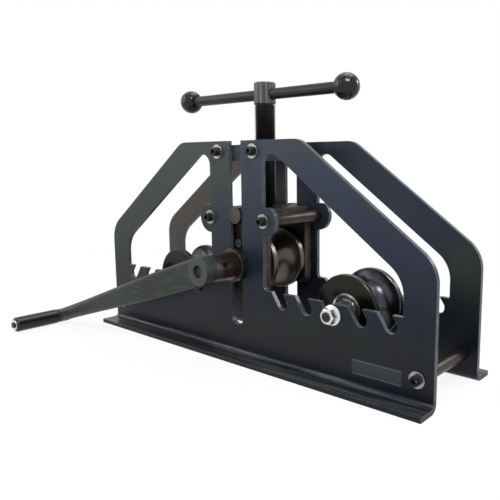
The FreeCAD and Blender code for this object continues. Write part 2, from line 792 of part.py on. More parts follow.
def carriage():
    for side_name, side in SIDES.items():
        cheek(f"{side_name}_cheek", side)
    top_plate()
    group("cheek_screws", [countersunk_screw("cheek_screw", f"{hand} * cheek_screw_spread / 2", side)
                           for side in SIDES.values() for hand in HANDS.values()])
    pins, oil_screws, bushes = [], [], []
    for side in SIDES.values():
        reach = f"({OUTER_FACE} + guide_stand_out - {CHEEK_OUTER})"
        steps = [(f"-{reach}", "slot_width / 2 - guide_clearance"), ("0", "guide_spigot / 2"),
                 ("guide_spigot_length", "0")]
        pin = turned("guide_pin", shaft_profile(steps),
                     at=("0", f"{side} * {CHEEK_OUTER}", "shaft_height + guide_rise"))
        pins.append(pin)
        screw = cap_screw("oil_screw", "oil_screw_size", "oil_screw_length", "oil_head_diameter",
                          "oil_head_height")
        place(screw, "0", f"{side} * {CHEEK_OUTER}", "shaft_height + oil_screw_rise")
        oil_screws.append(screw)
        if side == REAR:
            face_rear(pin)
            face_rear(screw)
        bushes.append(turned("shaft_bush", ring(f"{side} * cheek_gap / 2", f"{side} * {CHEEK_OUTER}",
                                                "shaft_diameter / 2 + running_clearance",
                                                "shaft_diameter / 2 + bush_wall"),
                             at=("0", "0", "shaft_height")))
    group("guide_pins", pins)
    group("bush_oil_screws", oil_screws)
    group("shaft_bushes", bushes)


# ---- drive shaft, centre roller and crank ----

def on_crank(body, y="0"):
    """Put a body drawn about the shaft's axis, with the arm along -X, in its place at rest."""
    body.Placement.Rotation = FreeCAD.Rotation(vector(0, -1, 0), SIZES["arm_drop_angle"])
    bind(body, "Placement.Rotation.Angle", "arm_drop_angle")
    place(body, y=y, z="shaft_height")
    return body


def drive_shaft():
    """Shaft through the slots, with a seat for the roller's key and a thinner journal for the crank."""
    journal_start = f"-({JOURNAL_END} - journal_length)"
    tail = f"({HUB_FACE} + shaft_tail)"
    steps = [(f"-{JOURNAL_END}", "journal_diameter / 2"), (journal_start, "shaft_diameter / 2"),
             (tail, "0")]
    body = turned("drive_shaft", shaft_profile(steps, chamfer="end_chamfer"))
    seat = new_sketch(body, "XY_Plane", "shaft_diameter / 2")
    rectangle(seat, "-key_width / 2", "key_width / 2", "-key_length / 2", "key_length / 2")
    pocket(body, seat, "key_height / 2")
    keep("drive_shaft", on_crank(body))

    key = new_body("roller_key")
    base = new_sketch(key, "XY_Plane", "shaft_diameter / 2 - key_height / 2")
    rectangle(base, "-key_width / 2 + seat_clearance", "key_width / 2 - seat_clearance",
              "-key_length / 2 + seat_clearance", "key_length / 2 - seat_clearance")
    pad(key, base, "key_height")
    keep("roller_key", on_crank(key))


def centre_roller():
    bore = "shaft_diameter / 2 + seat_clearance"
    body = grooved_roller("centre_roller", [(ROLLER_HALF, bore), (f"-{ROLLER_HALF}", bore)],
                          ("0", "0", "0"))
    keyway = new_sketch(body, "XZ_Plane")
    rectangle(keyway, "-key_width / 2", "key_width / 2", "0",
              "shaft_diameter / 2 + key_height / 2 + face_clearance")
    pocket(body, keyway)
    on_crank(body)


def rings_on_shaft(name, start, thickness, diameter, clearance, screw_size=None):
    """Ring at each side of the carriage, facing outwards from a place on the shaft's axis."""
    members = []
    for side in SIDES.values():
        inner = f"shaft_diameter / 2 + {clearance}"
        body = turned(f"{name}_ring", ring(f"{side} * {start}", f"{side} * ({start} + {thickness})",
                                           inner, f"{diameter} / 2"))
        if screw_size:
            hole = new_sketch(body, "XY_Plane")
            circle(hole, "0", f"{side} * ({start} + {thickness} / 2)",
                   f"{screw_size} / 2 + thread_clearance")
            pocket(body, hole, diameter, backwards=True)
        members.append(on_crank(body))
    return group(name, members)


def shaft_rings():
    rings_on_shaft("roller_side_washers", ROLLER_HALF,
                   "(cheek_gap / 2 - roller_width / 2 - face_clearance)", "roller_washer_diameter",
                   "hole_clearance")
    rings_on_shaft("shaft_thrust_washers", WASHER_FACE, "thrust_washer_thickness",
                   "thrust_washer_diameter", "hole_clearance")
    rings_on_shaft("shaft_collars", COLLAR_FACE, "collar_thickness", "collar_diameter", "seat_clearance",
                   "grub_size")
    grub = ring("shaft_diameter / 2", "collar_diameter / 2 - end_chamfer", "0", "grub_size / 2")
    group("collar_grub_screws", [on_crank(turned("collar_grub_screw", grub, "Z"),
                                          f"{side} * ({COLLAR_FACE} + collar_thickness / 2)")
                                 for side in SIDES.values()])


def crank_hub():
    """Round hub on the shaft with a square boss at its front, to which the arm is welded."""
    body = new_body("crank_hub")
    revolve(body, ring(f"-{HUB_FACE}", f"-({HUB_FACE} + hub_length)", "0", "hub_diameter / 2"))
    boss = new_sketch(body, "XZ_Plane", "boss_front")
    rectangle(boss, "-boss_arm_side", "boss_far_side", "-boss_height / 2", "boss_height / 2")
    pad(body, boss, "boss_depth", backwards=True)
    shaft_bore = new_sketch(body, "XZ_Plane", HUB_FACE)
    circle(shaft_bore, "0", "0", "shaft_diameter / 2 + seat_clearance")
    pocket(body, shaft_bore, f"{JOURNAL_END} - journal_length - {HUB_FACE} + seat_clearance", backwards=True)
    journal_bore = new_sketch(body, "XZ_Plane", "boss_front")
    circle(journal_bore, "0", "0", "journal_diameter / 2 + seat_clearance")
    pocket(body, journal_bore)
    grub_hole = new_sketch(body, "YZ_Plane")
    circle(grub_hole, f"-({HUB_FACE} + hub_grub_offset)", "0", "hub_grub_size / 2 + thread_clearance")
    pocket(body, grub_hole, "hub_diameter", backwards=True)
    bolt_hole = new_sketch(body, "XY_Plane")
    circle(bolt_hole, "0", f"-{LOCK_BOLT_PLACE}", "lock_bolt_size / 2 + thread_clearance")
    pocket(body, bolt_hole, "boss_height")
    keep("crank_hub", on_crank(body))

    grub = ring("shaft_diameter / 2", "hub_diameter / 2 - end_chamfer", "0", "hub_grub_size / 2")
    keep("hub_grub_screw", on_crank(turned("hub_grub_screw", grub, "X"), f"-({HUB_FACE} + hub_grub_offset)"))
    bolt = shaft_profile([("-boss_height / 2 - lock_bolt_head_height", "lock_bolt_head_diameter / 2"),
                          ("-boss_height / 2", "lock_bolt_size / 2"), ("-journal_diameter / 2", "0")])
    keep("hub_lock_bolt", on_crank(turned("hub_lock_bolt", bolt, "Z"), f"-{LOCK_BOLT_PLACE}"))


def flat_oval(sketch, height, thickness, middle):
    """Section of the flattened tube: straight sides and round ends, in the YZ plane."""
    side, end = f"{thickness} / 2", f"({height} - {thickness}) / 2"
    right, left = f"{middle} + {side}", f"{middle} - {side}"
    outline(sketch, [(right, f"-{end}"), (right, end, side, 1), (middle, f"{end} + {side}", side, 1),
                     (left, end), (left, f"-{end}", side, 1), (middle, f"-{end} - {side}", side, 1)])


def crank_arm():
    """Tube pressed flat at the hub, swelling to round at the knuckle that holds the grip."""
    body = new_body("crank_arm")
    lean = f"({ARM_END_MIDDLE} - boss_front + arm_root_thickness / 2)"
    length = "(arm_length - boss_arm_side)"
    sections = []
    for stage, share in (("root", "0"), ("middle", "arm_middle_share"), ("waist", "arm_waist_share"),
                         ("end", "1")):
        start = f"(boss_arm_side + {length} * {share})"
        section = new_sketch(body, "YZ_Plane", f"-{start}")
        middle = f"-(boss_front - arm_root_thickness / 2 + {lean} * {share})"
        flat_oval(section, f"arm_{stage}_height", f"arm_{stage}_thickness", middle)
        sections.append(section)
    loft = body.newObject("PartDesign::AdditiveLoft", "Loft")
    loft.Profile = sections[0]
    loft.Sections = sections[1:]
    knuckle = new_sketch(body, "XZ_Plane", "arm_end_front")
    circle(knuckle, "-arm_length", "0", "knuckle_diameter / 2")
    pad(body, knuckle, "arm_end_thickness", backwards=True)
    seat = new_sketch(body, "XZ_Plane", "arm_end_front")
    circle(seat, "-arm_length", "0", "stud_diameter / 2 + seat_clearance")
    pocket(body, seat, "stud_seat")
    keep("crank_arm", on_crank(body))


def grip():
    """Grip that turns on a stud, kept on by a washer and a screw in the stud's end."""
    at = ("-arm_length * cos(arm_drop_angle)", "0", "shaft_height - arm_length * sin(arm_drop_angle)")
    tap_end = f"({STUD_END} - end_screw_length)"
    tap = "end_screw_size / 2 + thread_clearance"
    root = "(arm_end_front - stud_seat)"
    keep("grip_stud", turned("grip_stud", [
        (f"-{STUD_END}", tap), (f"-{STUD_END}", "stud_diameter / 2"), (f"-{root}", "stud_diameter / 2"),
        (f"-{root}", "0"), (f"-{tap_end}", "0"), (f"-{tap_end}", tap)], at=at))
    keep("grip_end_washer", turned("grip_end_washer", ring(
        f"-{STUD_END}", f"-{STUD_END} - end_washer_thickness", "end_screw_size / 2 + hole_clearance",
        "end_washer_diameter / 2"), at=at))
    head = f"-{STUD_END} - end_washer_thickness"
    keep("grip_end_screw", turned("grip_end_screw", shaft_profile([
        (f"{head} - end_screw_height", "end_screw_head / 2"), (head, "end_screw_size / 2"),
        (f"-{tap_end} - end_chamfer", "0")]), at=at))
    edge, radius = "grip_edge_radius", "grip_diameter / 2"
    bore = "stud_diameter / 2 + running_clearance"
    keep("crank_grip", turned("crank_grip", [
        (f"-{GRIP_END}", bore), (f"-{GRIP_END}", f"{radius} - {edge}", edge, -1),
        (f"-{GRIP_END} + {edge}", radius), (f"-{GRIP_START}", radius), (f"-{GRIP_START}", bore)], at=at))


# ---- lead screw and tee bar ----

def lead_screw():
    """Screw with a thin neck through the top plate, its pinned foot collar and its cross-drilled head."""
    neck, spigot = "lead_neck_diameter / 2", "head_spigot_diameter / 2"
    steps = [(FOOT_BOTTOM, neck), (f"{CARRIAGE_TOP} + face_clearance", "lead_diameter / 2"),
             ("head_bottom", spigot), ("head_bottom + head_spigot_length", "0")]
    screw = turned("lead_screw", shaft_profile(steps), "Z")
    collar = turned("screw_foot_collar", ring(FOOT_BOTTOM, FOOT_TOP, f"{neck} + seat_clearance",
                                              "foot_diameter / 2"), "Z")
    pin_height = f"({FOOT_TOP} - foot_thickness / 2)"
    for body in (screw, collar):
        hole = new_sketch(body, "XZ_Plane")
        circle(hole, "0", pin_height, "foot_pin_diameter / 2 + seat_clearance")
        pocket(body, hole)
        keep(body.Label, body)
    pin = ring("-foot_diameter / 2 + end_chamfer", "foot_diameter / 2 - end_chamfer", "0",
               "foot_pin_diameter / 2")
    keep("foot_collar_pin", turned("foot_collar_pin", pin, at=("0", "0", pin_height)))

    head, edge = new_body("screw_head"), "head_edge_radius"
    radius, top, bore = "head_diameter / 2", "head_bottom + head_height", f"{spigot} + seat_clearance"
    bore_end = "head_bottom + head_spigot_length + seat_clearance"
    revolve(head, [("head_bottom", bore), ("head_bottom", radius), (f"{top} - {edge}", radius, edge, 1),
                   (top, f"{radius} - {edge}"), (top, "0"), (bore_end, "0"), (bore_end, bore)], "Z")
    cross = new_sketch(head, "YZ_Plane")
    circle(cross, "0", TEE_HEIGHT, "tee_diameter / 2 + tee_clearance")
    pocket(head, cross)
    keep("screw_head", head)


def tee_bar():
    """Bar that slides through the screw's head, with a ball knob driven on each end."""
    seat, ball = "(ball_spacing / 2 + ball_seat)", "ball_diameter / 2"
    radius = "tee_diameter / 2"
    at = ("-tee_shift", "0", TEE_HEIGHT)
    keep("tee_bar", turned("tee_bar", shaft_profile([(f"-{seat}", radius), (seat, "0")]), "X", at=at))
    for hand_name, hand in HANDS.items():
        bore, end = f"{radius} + seat_clearance", f"{hand} * (ball_seat + seat_clearance)"
        flat, rim = f"-{hand} * ball_flat", "sqrt((ball_diameter / 2)^2 - ball_flat^2)"
        profile = [(flat, bore), (flat, rim, ball, -hand), ("0", ball, ball, -hand),
                   (f"{hand} * {ball}", "0"), (end, "0"), (end, bore)]
        knob_at = (f"-tee_shift + {hand} * ball_spacing / 2", "0", TEE_HEIGHT)
        name = f"{hand_name}_ball_knob"
        keep(name, turned(name, profile, "X", at=knob_at))


def main():
    for side_name, side in SIDES.items():
        side_plate(f"{side_name}_side_plate", side)
    tie_rods()
    nut_block()
    for hand_name, hand in HANDS.items():
        outer_roller(hand_name, hand)
    carriage()
    drive_shaft()
    centre_roller()
    shaft_rings()
    crank_hub()
    crank_arm()
    grip()
    lead_screw()
    tee_bar()
    doc.recompute()


main()
for thing in doc.Objects:
    if {"Invalid", "Error"} & set(thing.State):
        raise RuntimeError(f"{thing.Label} failed: {thing.State}")
for node in nodes:
    if node.Shape.isNull() or not node.Shape.isValid() or not node.Shape.Solids:
        raise RuntimeError(f"{node.Label} has no valid shape")
os.makedirs("parts", exist_ok=True)
for node in nodes:
    node.Shape.exportStep(f"parts/{node.Label}.step")
print(f"{len(nodes)} sub-parts")
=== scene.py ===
"""Ring roller: finishes, threads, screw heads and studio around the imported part, all in metres."""
import logging
import math
from dataclasses import dataclass
from enum import Enum
from functools import cache, partialmethod
from typing import Any, Iterable, Sequence, Union

import bmesh
import bpy
from mathutils import Matrix, Vector


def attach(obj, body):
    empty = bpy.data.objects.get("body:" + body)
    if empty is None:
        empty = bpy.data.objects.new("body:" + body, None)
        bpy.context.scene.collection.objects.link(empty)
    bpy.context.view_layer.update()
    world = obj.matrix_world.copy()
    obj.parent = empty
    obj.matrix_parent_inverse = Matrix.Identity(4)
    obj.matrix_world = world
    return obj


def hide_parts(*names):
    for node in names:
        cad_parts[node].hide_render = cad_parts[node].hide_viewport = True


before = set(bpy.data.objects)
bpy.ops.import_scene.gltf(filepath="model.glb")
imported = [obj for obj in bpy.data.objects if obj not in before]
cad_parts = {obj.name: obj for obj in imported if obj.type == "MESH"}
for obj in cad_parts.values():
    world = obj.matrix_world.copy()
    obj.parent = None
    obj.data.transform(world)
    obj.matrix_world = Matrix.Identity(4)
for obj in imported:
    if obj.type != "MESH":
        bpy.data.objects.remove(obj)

log = logging.getLogger("ring_roller")

Colour = tuple[float, float, float]
Triple = tuple[float, float, float]
Ramp = tuple[float, ...]
MM = 0.001
MERGE_DISTANCE = 1e-6
TURNED_MERGE = 1e-7
QUARTER = math.pi / 2
HEXAGON = 6
SMOOTH_BELOW = math.radians(32.0)
SIDES = (-1.0, 1.0)
HANDS = (("left", -1.0), ("right", 1.0))


class Body(str, Enum):
    """Bodies of the part that the pieces ride on."""

    FRAME = "frame"
    CRANK = "crank"
    SCREW = "screw"


class Axis(Enum):
    """Axis that a turned piece was turned about."""

    Y = 1
    Z = 2


# ---- node trees ----

class Socket:
    """Output of a node that takes part in arithmetic."""

    def __init__(self, tree: "Tree", output: bpy.types.NodeSocket) -> None:
        """Wrap one output of a node in a tree."""
        self.tree = tree
        self.output = output

    def maths(self, operation: str, *others: "Number") -> "Socket":
        """Result of a Math node on this value and others."""
        return self.tree.value("ShaderNodeMath", {"operation": operation}, dict(enumerate((self, *others))))

    def __rsub__(self, other: float) -> "Socket":
        """Difference of a number and this value."""
        return self * -1.0 + other

    __add__ = __radd__ = partialmethod(maths, "ADD")
    __sub__ = partialmethod(maths, "SUBTRACT")
    __mul__ = __rmul__ = partialmethod(maths, "MULTIPLY")
    __truediv__ = partialmethod(maths, "DIVIDE")
    __pow__ = partialmethod(maths, "POWER")
    __gt__ = partialmethod(maths, "GREATER_THAN")
    __abs__ = partialmethod(maths, "ABSOLUTE")


Number = Union[float, Socket]


class Tree:
    """Node tree in which every node is made by one method."""

    def __init__(self, nodes: bpy.types.NodeTree) -> None:
        """Empty one of Blender's own trees and start from it."""
        self.nodes = nodes
        self.nodes.nodes.clear()

    def node(self, kind: str, settings: dict[str, Any] | None = None,
             inputs: dict[Any, Any] | None = None) -> bpy.types.Node:
        """Add one node.

        Args:
            kind: the node's type.
            settings: properties, set before anything is linked.
            inputs: values or links, by the socket's name or place.

        Returns:
            The node.
        """
        made = self.nodes.nodes.new(kind)
        for name, setting in (settings or {}).items():
            setattr(made, name, setting)
        for key, value in (inputs or {}).items():
            if isinstance(value, Socket):
                self.nodes.links.new(value.output, made.inputs[key])
            else:
                made.inputs[key].default_value = value
        return made

    def value(self, kind: str, settings: dict[str, Any] | None = None, inputs: dict[Any, Any] | None = None,
              output: Any = 0) -> Socket:
        """Add a node and return one of its outputs."""
        return Socket(self, self.node(kind, settings, inputs).outputs[output])

    def split(self, vector: Socket) -> tuple[Socket, Socket, Socket]:
        """Components of a vector."""
        parts = self.node("ShaderNodeSeparateXYZ", None, {0: vector})
        return tuple(Socket(self, output) for output in parts.outputs)

    def join(self, x: Number, y: Number, z: Number) -> Socket:
        """Vector of three values."""
        return self.value("ShaderNodeCombineXYZ", None, {0: x, 1: y, 2: z})

    def distance(self, first: Socket, second: Socket) -> Socket:
        """Length of two components together."""
        return (first ** 2 + second ** 2) ** 0.5

    def scaled(self, vector: Socket, factors: Triple) -> Socket:
        """Vector times a factor for each axis."""
        return self.value("ShaderNodeVectorMath", {"operation": "MULTIPLY"}, {0: vector, 1: factors})


@dataclass(frozen=True)
class Patch:
    """Noise carried from least, where it lies at low, to most, where it lies at high."""

    scale: float
    detail: float
    rough: float
    low: float
    high: float
    most: float = 1.0
    least: float = 0.0
    stretch: Triple = (1.0, 1.0, 1.0)


class Shader(Tree):
    """Shader tree of one material, with the patterns that the finishes share."""

    edge_dots: Ramp = (0.985, 0.86)
    bevel_samples: int = 4

    def __init__(self, name: str) -> None:
        """Make the material.

        Args:
            name: the material's name.
        """
        self.material = bpy.data.materials.new(name)
        self.material.use_nodes = True
        super().__init__(self.material.node_tree)
        places = self.node("ShaderNodeTexCoord")
        self.position = Socket(self, places.outputs["Object"])
        self.facing = Socket(self, places.outputs["Normal"])

    def noise(self, scale: float, detail: float = 2.0, rough: float = 0.5,
              vector: Socket | None = None) -> Socket:
        """Noise from 0 to 1.

        Args:
            scale: features in a metre, or in a unit of the vector.
            detail: how many finer layers are added.
            rough: how strong the finer layers are.
            vector: where the noise is read, the object's own coordinates if none is given.

        Returns:
            The noise's value.
        """
        return self.value("ShaderNodeTexNoise", {"noise_dimensions": "3D"},
                          {"Vector": vector or self.position, "Scale": scale, "Detail": detail,
                           "Roughness": rough})

    def ramp(self, value: Socket, low: float, high: float, start: float = 0.0, end: float = 1.0) -> Socket:
        """Value carried smoothly from start at low to end at high, and held outside."""
        return self.value("ShaderNodeMapRange", {"interpolation_type": "SMOOTHSTEP"},
                          {"Value": value, "From Min": low, "From Max": high, "To Min": start,
                           "To Max": end})

    def patch(self, patch: Patch, lift: Number = 0.0) -> Socket:
        """Patches of a noise, with something added to the noise."""
        level = self.noise(patch.scale, patch.detail, patch.rough, self.scaled(self.position, patch.stretch))
        return self.ramp(level + lift, patch.low, patch.high, patch.least, patch.most)

    def wave(self, value: Socket, width: float) -> Socket:
        """Sine with one wave in each width."""
        return (value * (2 * math.pi / width)).maths("SINE")

    def blend(self, factor: Number, first: Any, second: Any) -> Socket:
        """Colour between two colours."""
        return self.value("ShaderNodeMix", {"data_type": "RGBA"},
                          {0: factor, 6: self._colour(first), 7: self._colour(second)}, 2)

    def layered(self, colour: Any, *layers: tuple[Number, Any]) -> Any:
        """Colour with others laid over it, each by its own amount."""
        for amount, layer in layers:
            colour = self.blend(amount, colour, layer)
        return colour

    @staticmethod
    def _colour(colour: Any) -> Any:
        """Colour as a socket takes it."""
        return colour if isinstance(colour, Socket) else (*colour, 1.0)

    def bump(self, height: Socket, distance: float, strength: float, edge: float = 0.0) -> Socket:
        """Normal bent by a height.

        Args:
            height: the height, from 0 to 1.
            distance: how deep a height of 1 is, in metres.
            strength: how much of it shows.
            edge: radius by which edges are softened first.

        Returns:
            The bent normal.
        """
        inputs = {"Height": height, "Distance": distance, "Strength": strength}
        if edge:
            inputs["Normal"] = self.rounded(edge)
        return self.value("ShaderNodeBump", None, inputs)

    def rounded(self, radius: float) -> Socket:
        """Normal that softens edges by a small radius."""
        return self.value("ShaderNodeBevel", {"samples": self.bevel_samples}, {"Radius": radius})

    def edge_highlight_mask(self, radius: float) -> Socket:
        """Mask for painted edge highlights: 1 along convex and concave edges, within a small radius, and 0
        on flat faces.
        """
        flat = self.value("ShaderNodeNewGeometry", output="Normal")
        near = self.value("ShaderNodeVectorMath", {"operation": "DOT_PRODUCT"},
                          {0: self.rounded(radius), 1: flat}, "Value")
        return self.ramp(near, *self.edge_dots)

    def surface(self, colour: Any, roughness: Number, normal: Socket, metallic: Number = 0.0,
                specular: float = 0.5) -> None:
        """Finish the material with the shader's own sockets.

        Args:
            colour: base colour.
            roughness: from mirror to matt.
            normal: bent normal.
            metallic: 1 for bare metal.
            specular: strength of the reflection of paint or plastic.
        """
        shader = self.value("ShaderNodeBsdfPrincipled", None, {
            "Base Color": self._colour(colour), "Roughness": roughness, "Normal": normal,
            "Metallic": metallic, "Specular IOR Level": specular})
        self.node("ShaderNodeOutputMaterial", None, {"Surface": shader})


# ---- finishes ----

@dataclass(frozen=True)
class Finish:
    """One finish; its name is the material's name."""

    name: str

    def draw(self, shader: Shader) -> None:
        """Fill the material's tree."""
        raise NotImplementedError


@cache
def material_of(finish: Finish) -> bpy.types.Material:
    """Material of a finish, made once."""
    shader = Shader(finish.name)
    finish.draw(shader)
    return shader.material


@dataclass(frozen=True)
class PlatePaint(Finish):
    """Semi-gloss paint on sheet steel in blue and green clouds, worn lighter on its cut edges; painted light
    at the top, painted shade at the bottom, painted edge highlights and painted reflections on the flange.
    """

    blue: Colour = (0.008, 0.012, 0.026)
    green: Colour = (0.017, 0.023, 0.021)
    # dark: colour of the painted shade laid on the plates towards the bottom
    dark: Colour = (0.003, 0.004, 0.007)
    violet: Colour = (0.018, 0.014, 0.032)
    # painted light: paler blue and green laid on the upper part of the plates
    painted_light_blue: Colour = (0.048, 0.064, 0.086)
    painted_light_green: Colour = (0.050, 0.062, 0.056)
    edge: Colour = (0.11, 0.12, 0.125)
    # rim: colour of the painted highlights along the plates' edges
    rim: Colour = (0.22, 0.23, 0.24)
    brown: Colour = (0.060, 0.050, 0.044)
    browned: float = 0.0
    clouds: Patch = Patch(9.0, 3.0, 0.6, 0.44, 0.60)
    violets: Patch = Patch(11.0, 3.0, 0.6, 0.54, 0.74, 0.7)
    scuffs: Patch = Patch(60.0, 6.0, 0.72, 0.63, 0.74, 0.22)
    wear: Patch = Patch(90.0, 4.0, 0.7, 0.30, 0.62)
    # streaks: painted reflection streaks on the foot flange and along the bend
    streaks: Patch = Patch(1.0, 5.0, 0.65, 0.40, 0.72, stretch=(9.0, 260.0, 260.0))
    greener_side: Ramp = (0.03, -0.02, -0.06, 0.10)
    greener_height: Ramp = (0.04, 0.09)
    # painted shade: ramp on height that darkens the plates towards the bottom
    painted_shade_height: Ramp = (0.15, 0.02, 0.0, 0.75)
    # painted light: ramp on height that makes the plates paler towards the top
    painted_light_height: Ramp = (0.10, 0.26, 0.0, 0.45)
    painted_light_drift: float = 0.05
    brown_side: Ramp = (-0.035, -0.065, 0.0)
    brown_drift: float = 0.03
    cut_facing: Ramp = (0.7, 0.4)
    web_bottom: Ramp = (0.011, 0.012)
    foot_height: Ramp = (0.02, 0.012)
    foot_facing: Ramp = (0.75, 0.95)
    bend_tilt: float = 0.45
    bend_facing: Ramp = (0.45, 0.30)
    # radius of the painted edge highlights
    edge_highlight_radius: float = 0.55 * MM

    def draw(self, shader: Shader) -> None:
        """Clouded paint with a fine peel, scuffs, lighter cut edges, painted light and shade by height,
        painted edge highlights and painted reflection streaks on the flange and bend.
        """
        side, _, height = shader.split(shader.position)
        _, across, upward = shader.split(shader.facing)
        greener = shader.ramp(side, *self.greener_side) * shader.ramp(height, *self.greener_height)
        cloud = shader.patch(self.clouds, greener)
        # high: painted light rising with height, its edge wavered by noise
        high = shader.ramp(height + self.painted_light_drift * shader.noise(15.0, 3.0), *self.painted_light_height)
        left = shader.ramp(side + self.brown_drift * shader.noise(25.0, 3.0), *self.brown_side, self.browned)
        cut = shader.ramp(abs(across), *self.cut_facing) * shader.ramp(height, *self.web_bottom)
        wear = shader.patch(self.wear)
        foot = shader.ramp(height, *self.foot_height)
        flange = shader.ramp(upward, *self.foot_facing) * foot
        bend = shader.ramp(abs(upward - self.bend_tilt), *self.bend_facing) * foot
        colour = shader.layered(
            self.blue, (cloud, self.green), (shader.patch(self.violets), self.violet),
            # painted shade, darker towards the bottom of the plates
            (shader.ramp(height, *self.painted_shade_height), self.dark),
            # painted light, paler towards the top of the plates
            (high, shader.blend(cloud, self.painted_light_blue, self.painted_light_green)), (left, self.brown),
            (shader.patch(self.scuffs), self.edge), (cut * (0.14 + 0.40 * wear), self.edge),
            # painted highlights along the edges, stronger where the wear noise is high
            (shader.edge_highlight_mask(self.edge_highlight_radius) * (0.25 + 0.65 * wear), self.rim),
            # painted reflection streaks on the foot flange and the bend
            (shader.patch(self.streaks) * (0.55 * flange + 0.85 * bend), self.edge))
        peel = shader.bump(shader.noise(700.0), 0.04 * MM, 0.6, 0.4 * MM)
        shader.surface(colour, 0.22 + 0.16 * shader.noise(24.0, 4.0, 0.65), peel, specular=0.2)


@dataclass(frozen=True)
class SatinPaint(Finish):
    """Satin paint brushed over rolled steel, with rubbed edges and streaks; on the screw head the bright
    streaks are painted reflection streaks.
    """

    base: Colour = (0.023, 0.030, 0.023)
    # lighter streak colour: real rubbing on most pieces, painted reflection streaks on the screw head
    rubbed_and_highlight: Colour = (0.065, 0.074, 0.068)
    dark: Colour = (0.010, 0.010, 0.011)
    roughness: float = 0.42
    stretch: Triple = (40.0, 200.0, 200.0)
    streaks: float = 0.45
    clouds: Patch = Patch(16.0, 3.0, 0.6, 0.40, 0.72, 0.55)
    streak_level: Ramp = (0.50, 0.70, 0.0)

    def draw(self, shader: Shader) -> None:
        """Paint with streaks along the piece and a light grain."""
        streak = shader.noise(1.0, 4.0, 0.6, shader.scaled(shader.position, self.stretch))
        # lighter streaks: rubbing, and on the screw head painted reflection streaks
        rubbing_and_sheen = shader.ramp(streak, *self.streak_level, self.streaks)
        colour = shader.layered(self.base, (shader.patch(self.clouds), self.dark), (rubbing_and_sheen, self.rubbed_and_highlight))
        grain = shader.bump(shader.noise(900.0) + streak, 0.03 * MM, 0.7, 0.5 * MM)
        shader.surface(colour, self.roughness - 0.08 + 0.18 * streak, grain, specular=0.2)


@dataclass(frozen=True)
class TurnedSteel(Finish):
    """Lathe-turned steel: rings about its axis, darkened by heat and oil."""

    base: Colour
    tint: Colour
    roughness: float = 0.34
    metallic: float = 0.85
    centre: Triple = (0.0, 0.0, 0.0)
    rings: float = 1500.0
    depth: float = 0.03
    groove: float = 1.0
    # rim: colour of the painted highlights along edges
    rim: Colour = (0.30, 0.29, 0.28)
    axis: Axis = Axis.Y
    band_share: float = 9.0
    wobble: float = 0.02
    tint_level: Ramp = (0.50, 0.90)

    def draw(self, shader: Shader) -> None:
        """Rings from the distance to the axis and the place along it, with painted highlights along the
        edges.
        """
        away = [part - middle for part, middle in zip(shader.split(shader.position), self.centre)]
        along = away.pop(self.axis.value)
        lathe = shader.join(shader.distance(*away), along, self.wobble * shader.noise(20.0))
        marks = shader.noise(self.rings, 3.0, 0.7, lathe)
        bands = shader.noise(self.rings / self.band_share, vector=lathe)
        stain = shader.noise(45.0, 4.0, 0.65)
        inside = shader.ramp(abs(along), self.groove, self.groove - MM)
        tinted = inside * shader.ramp(stain + 0.35 * bands, *self.tint_level)
        # the rim colour along edges is a painted highlight
        colour = shader.layered(self.base, (tinted, self.tint), (0.7 * shader.edge_highlight_mask(0.4 * MM), self.rim))
        shader.surface(colour, self.roughness - 0.07 + 0.16 * marks + 0.08 * stain,
                       shader.bump(marks, self.depth * MM, 0.5, 0.35 * MM), self.metallic)


@dataclass(frozen=True)
class HubSteel(Finish):
    """Round hub: the arm's paint over its front end, heat-stained bare steel towards the collar."""

    paint: Colour = (0.028, 0.034, 0.030)
    steel: Colour = (0.034, 0.032, 0.026)
    violet: Colour = (0.120, 0.098, 0.120)
    rust: Colour = (0.095, 0.040, 0.030)
    paint_reach: Ramp = (0.090, 0.101)
    violet_at: float = 0.0885
    rust_at: float = 0.0745
    band: Ramp = (0.008, 0.0024)
    patches: Patch = Patch(48.0, 2.0, 0.5, 0.36, 0.56, least=0.2)
    rings: Triple = (30.0, 900.0, 30.0)

    def draw(self, shader: Shader) -> None:
        """Paint fading into drifting heat colours, with rings from the lathe."""
        _, along, _ = shader.split(shader.position)
        ragged = abs(along) + 0.02 * (shader.noise(60.0, 4.0, 0.6) - 0.5)
        covered = shader.ramp(ragged, *self.paint_reach)
        rings = shader.noise(1.0, 4.0, 0.7, shader.scaled(shader.position, self.rings))
        drift = abs(along) + 0.012 * (shader.noise(70.0, 3.0) - 0.5)
        patch = shader.patch(self.patches)
        stains = [(shader.ramp(abs(drift - place), *self.band) * patch, stain)
                  for place, stain in ((self.violet_at, self.violet), (self.rust_at, self.rust))]
        shader.surface(shader.layered(self.steel, *stains, (covered, self.paint)),
                       0.24 + 0.14 * rings + 0.1 * covered,
                       shader.bump(rings, 0.03 * MM, 0.6, 0.5 * MM), 0.75 - 0.7 * covered, 0.4)


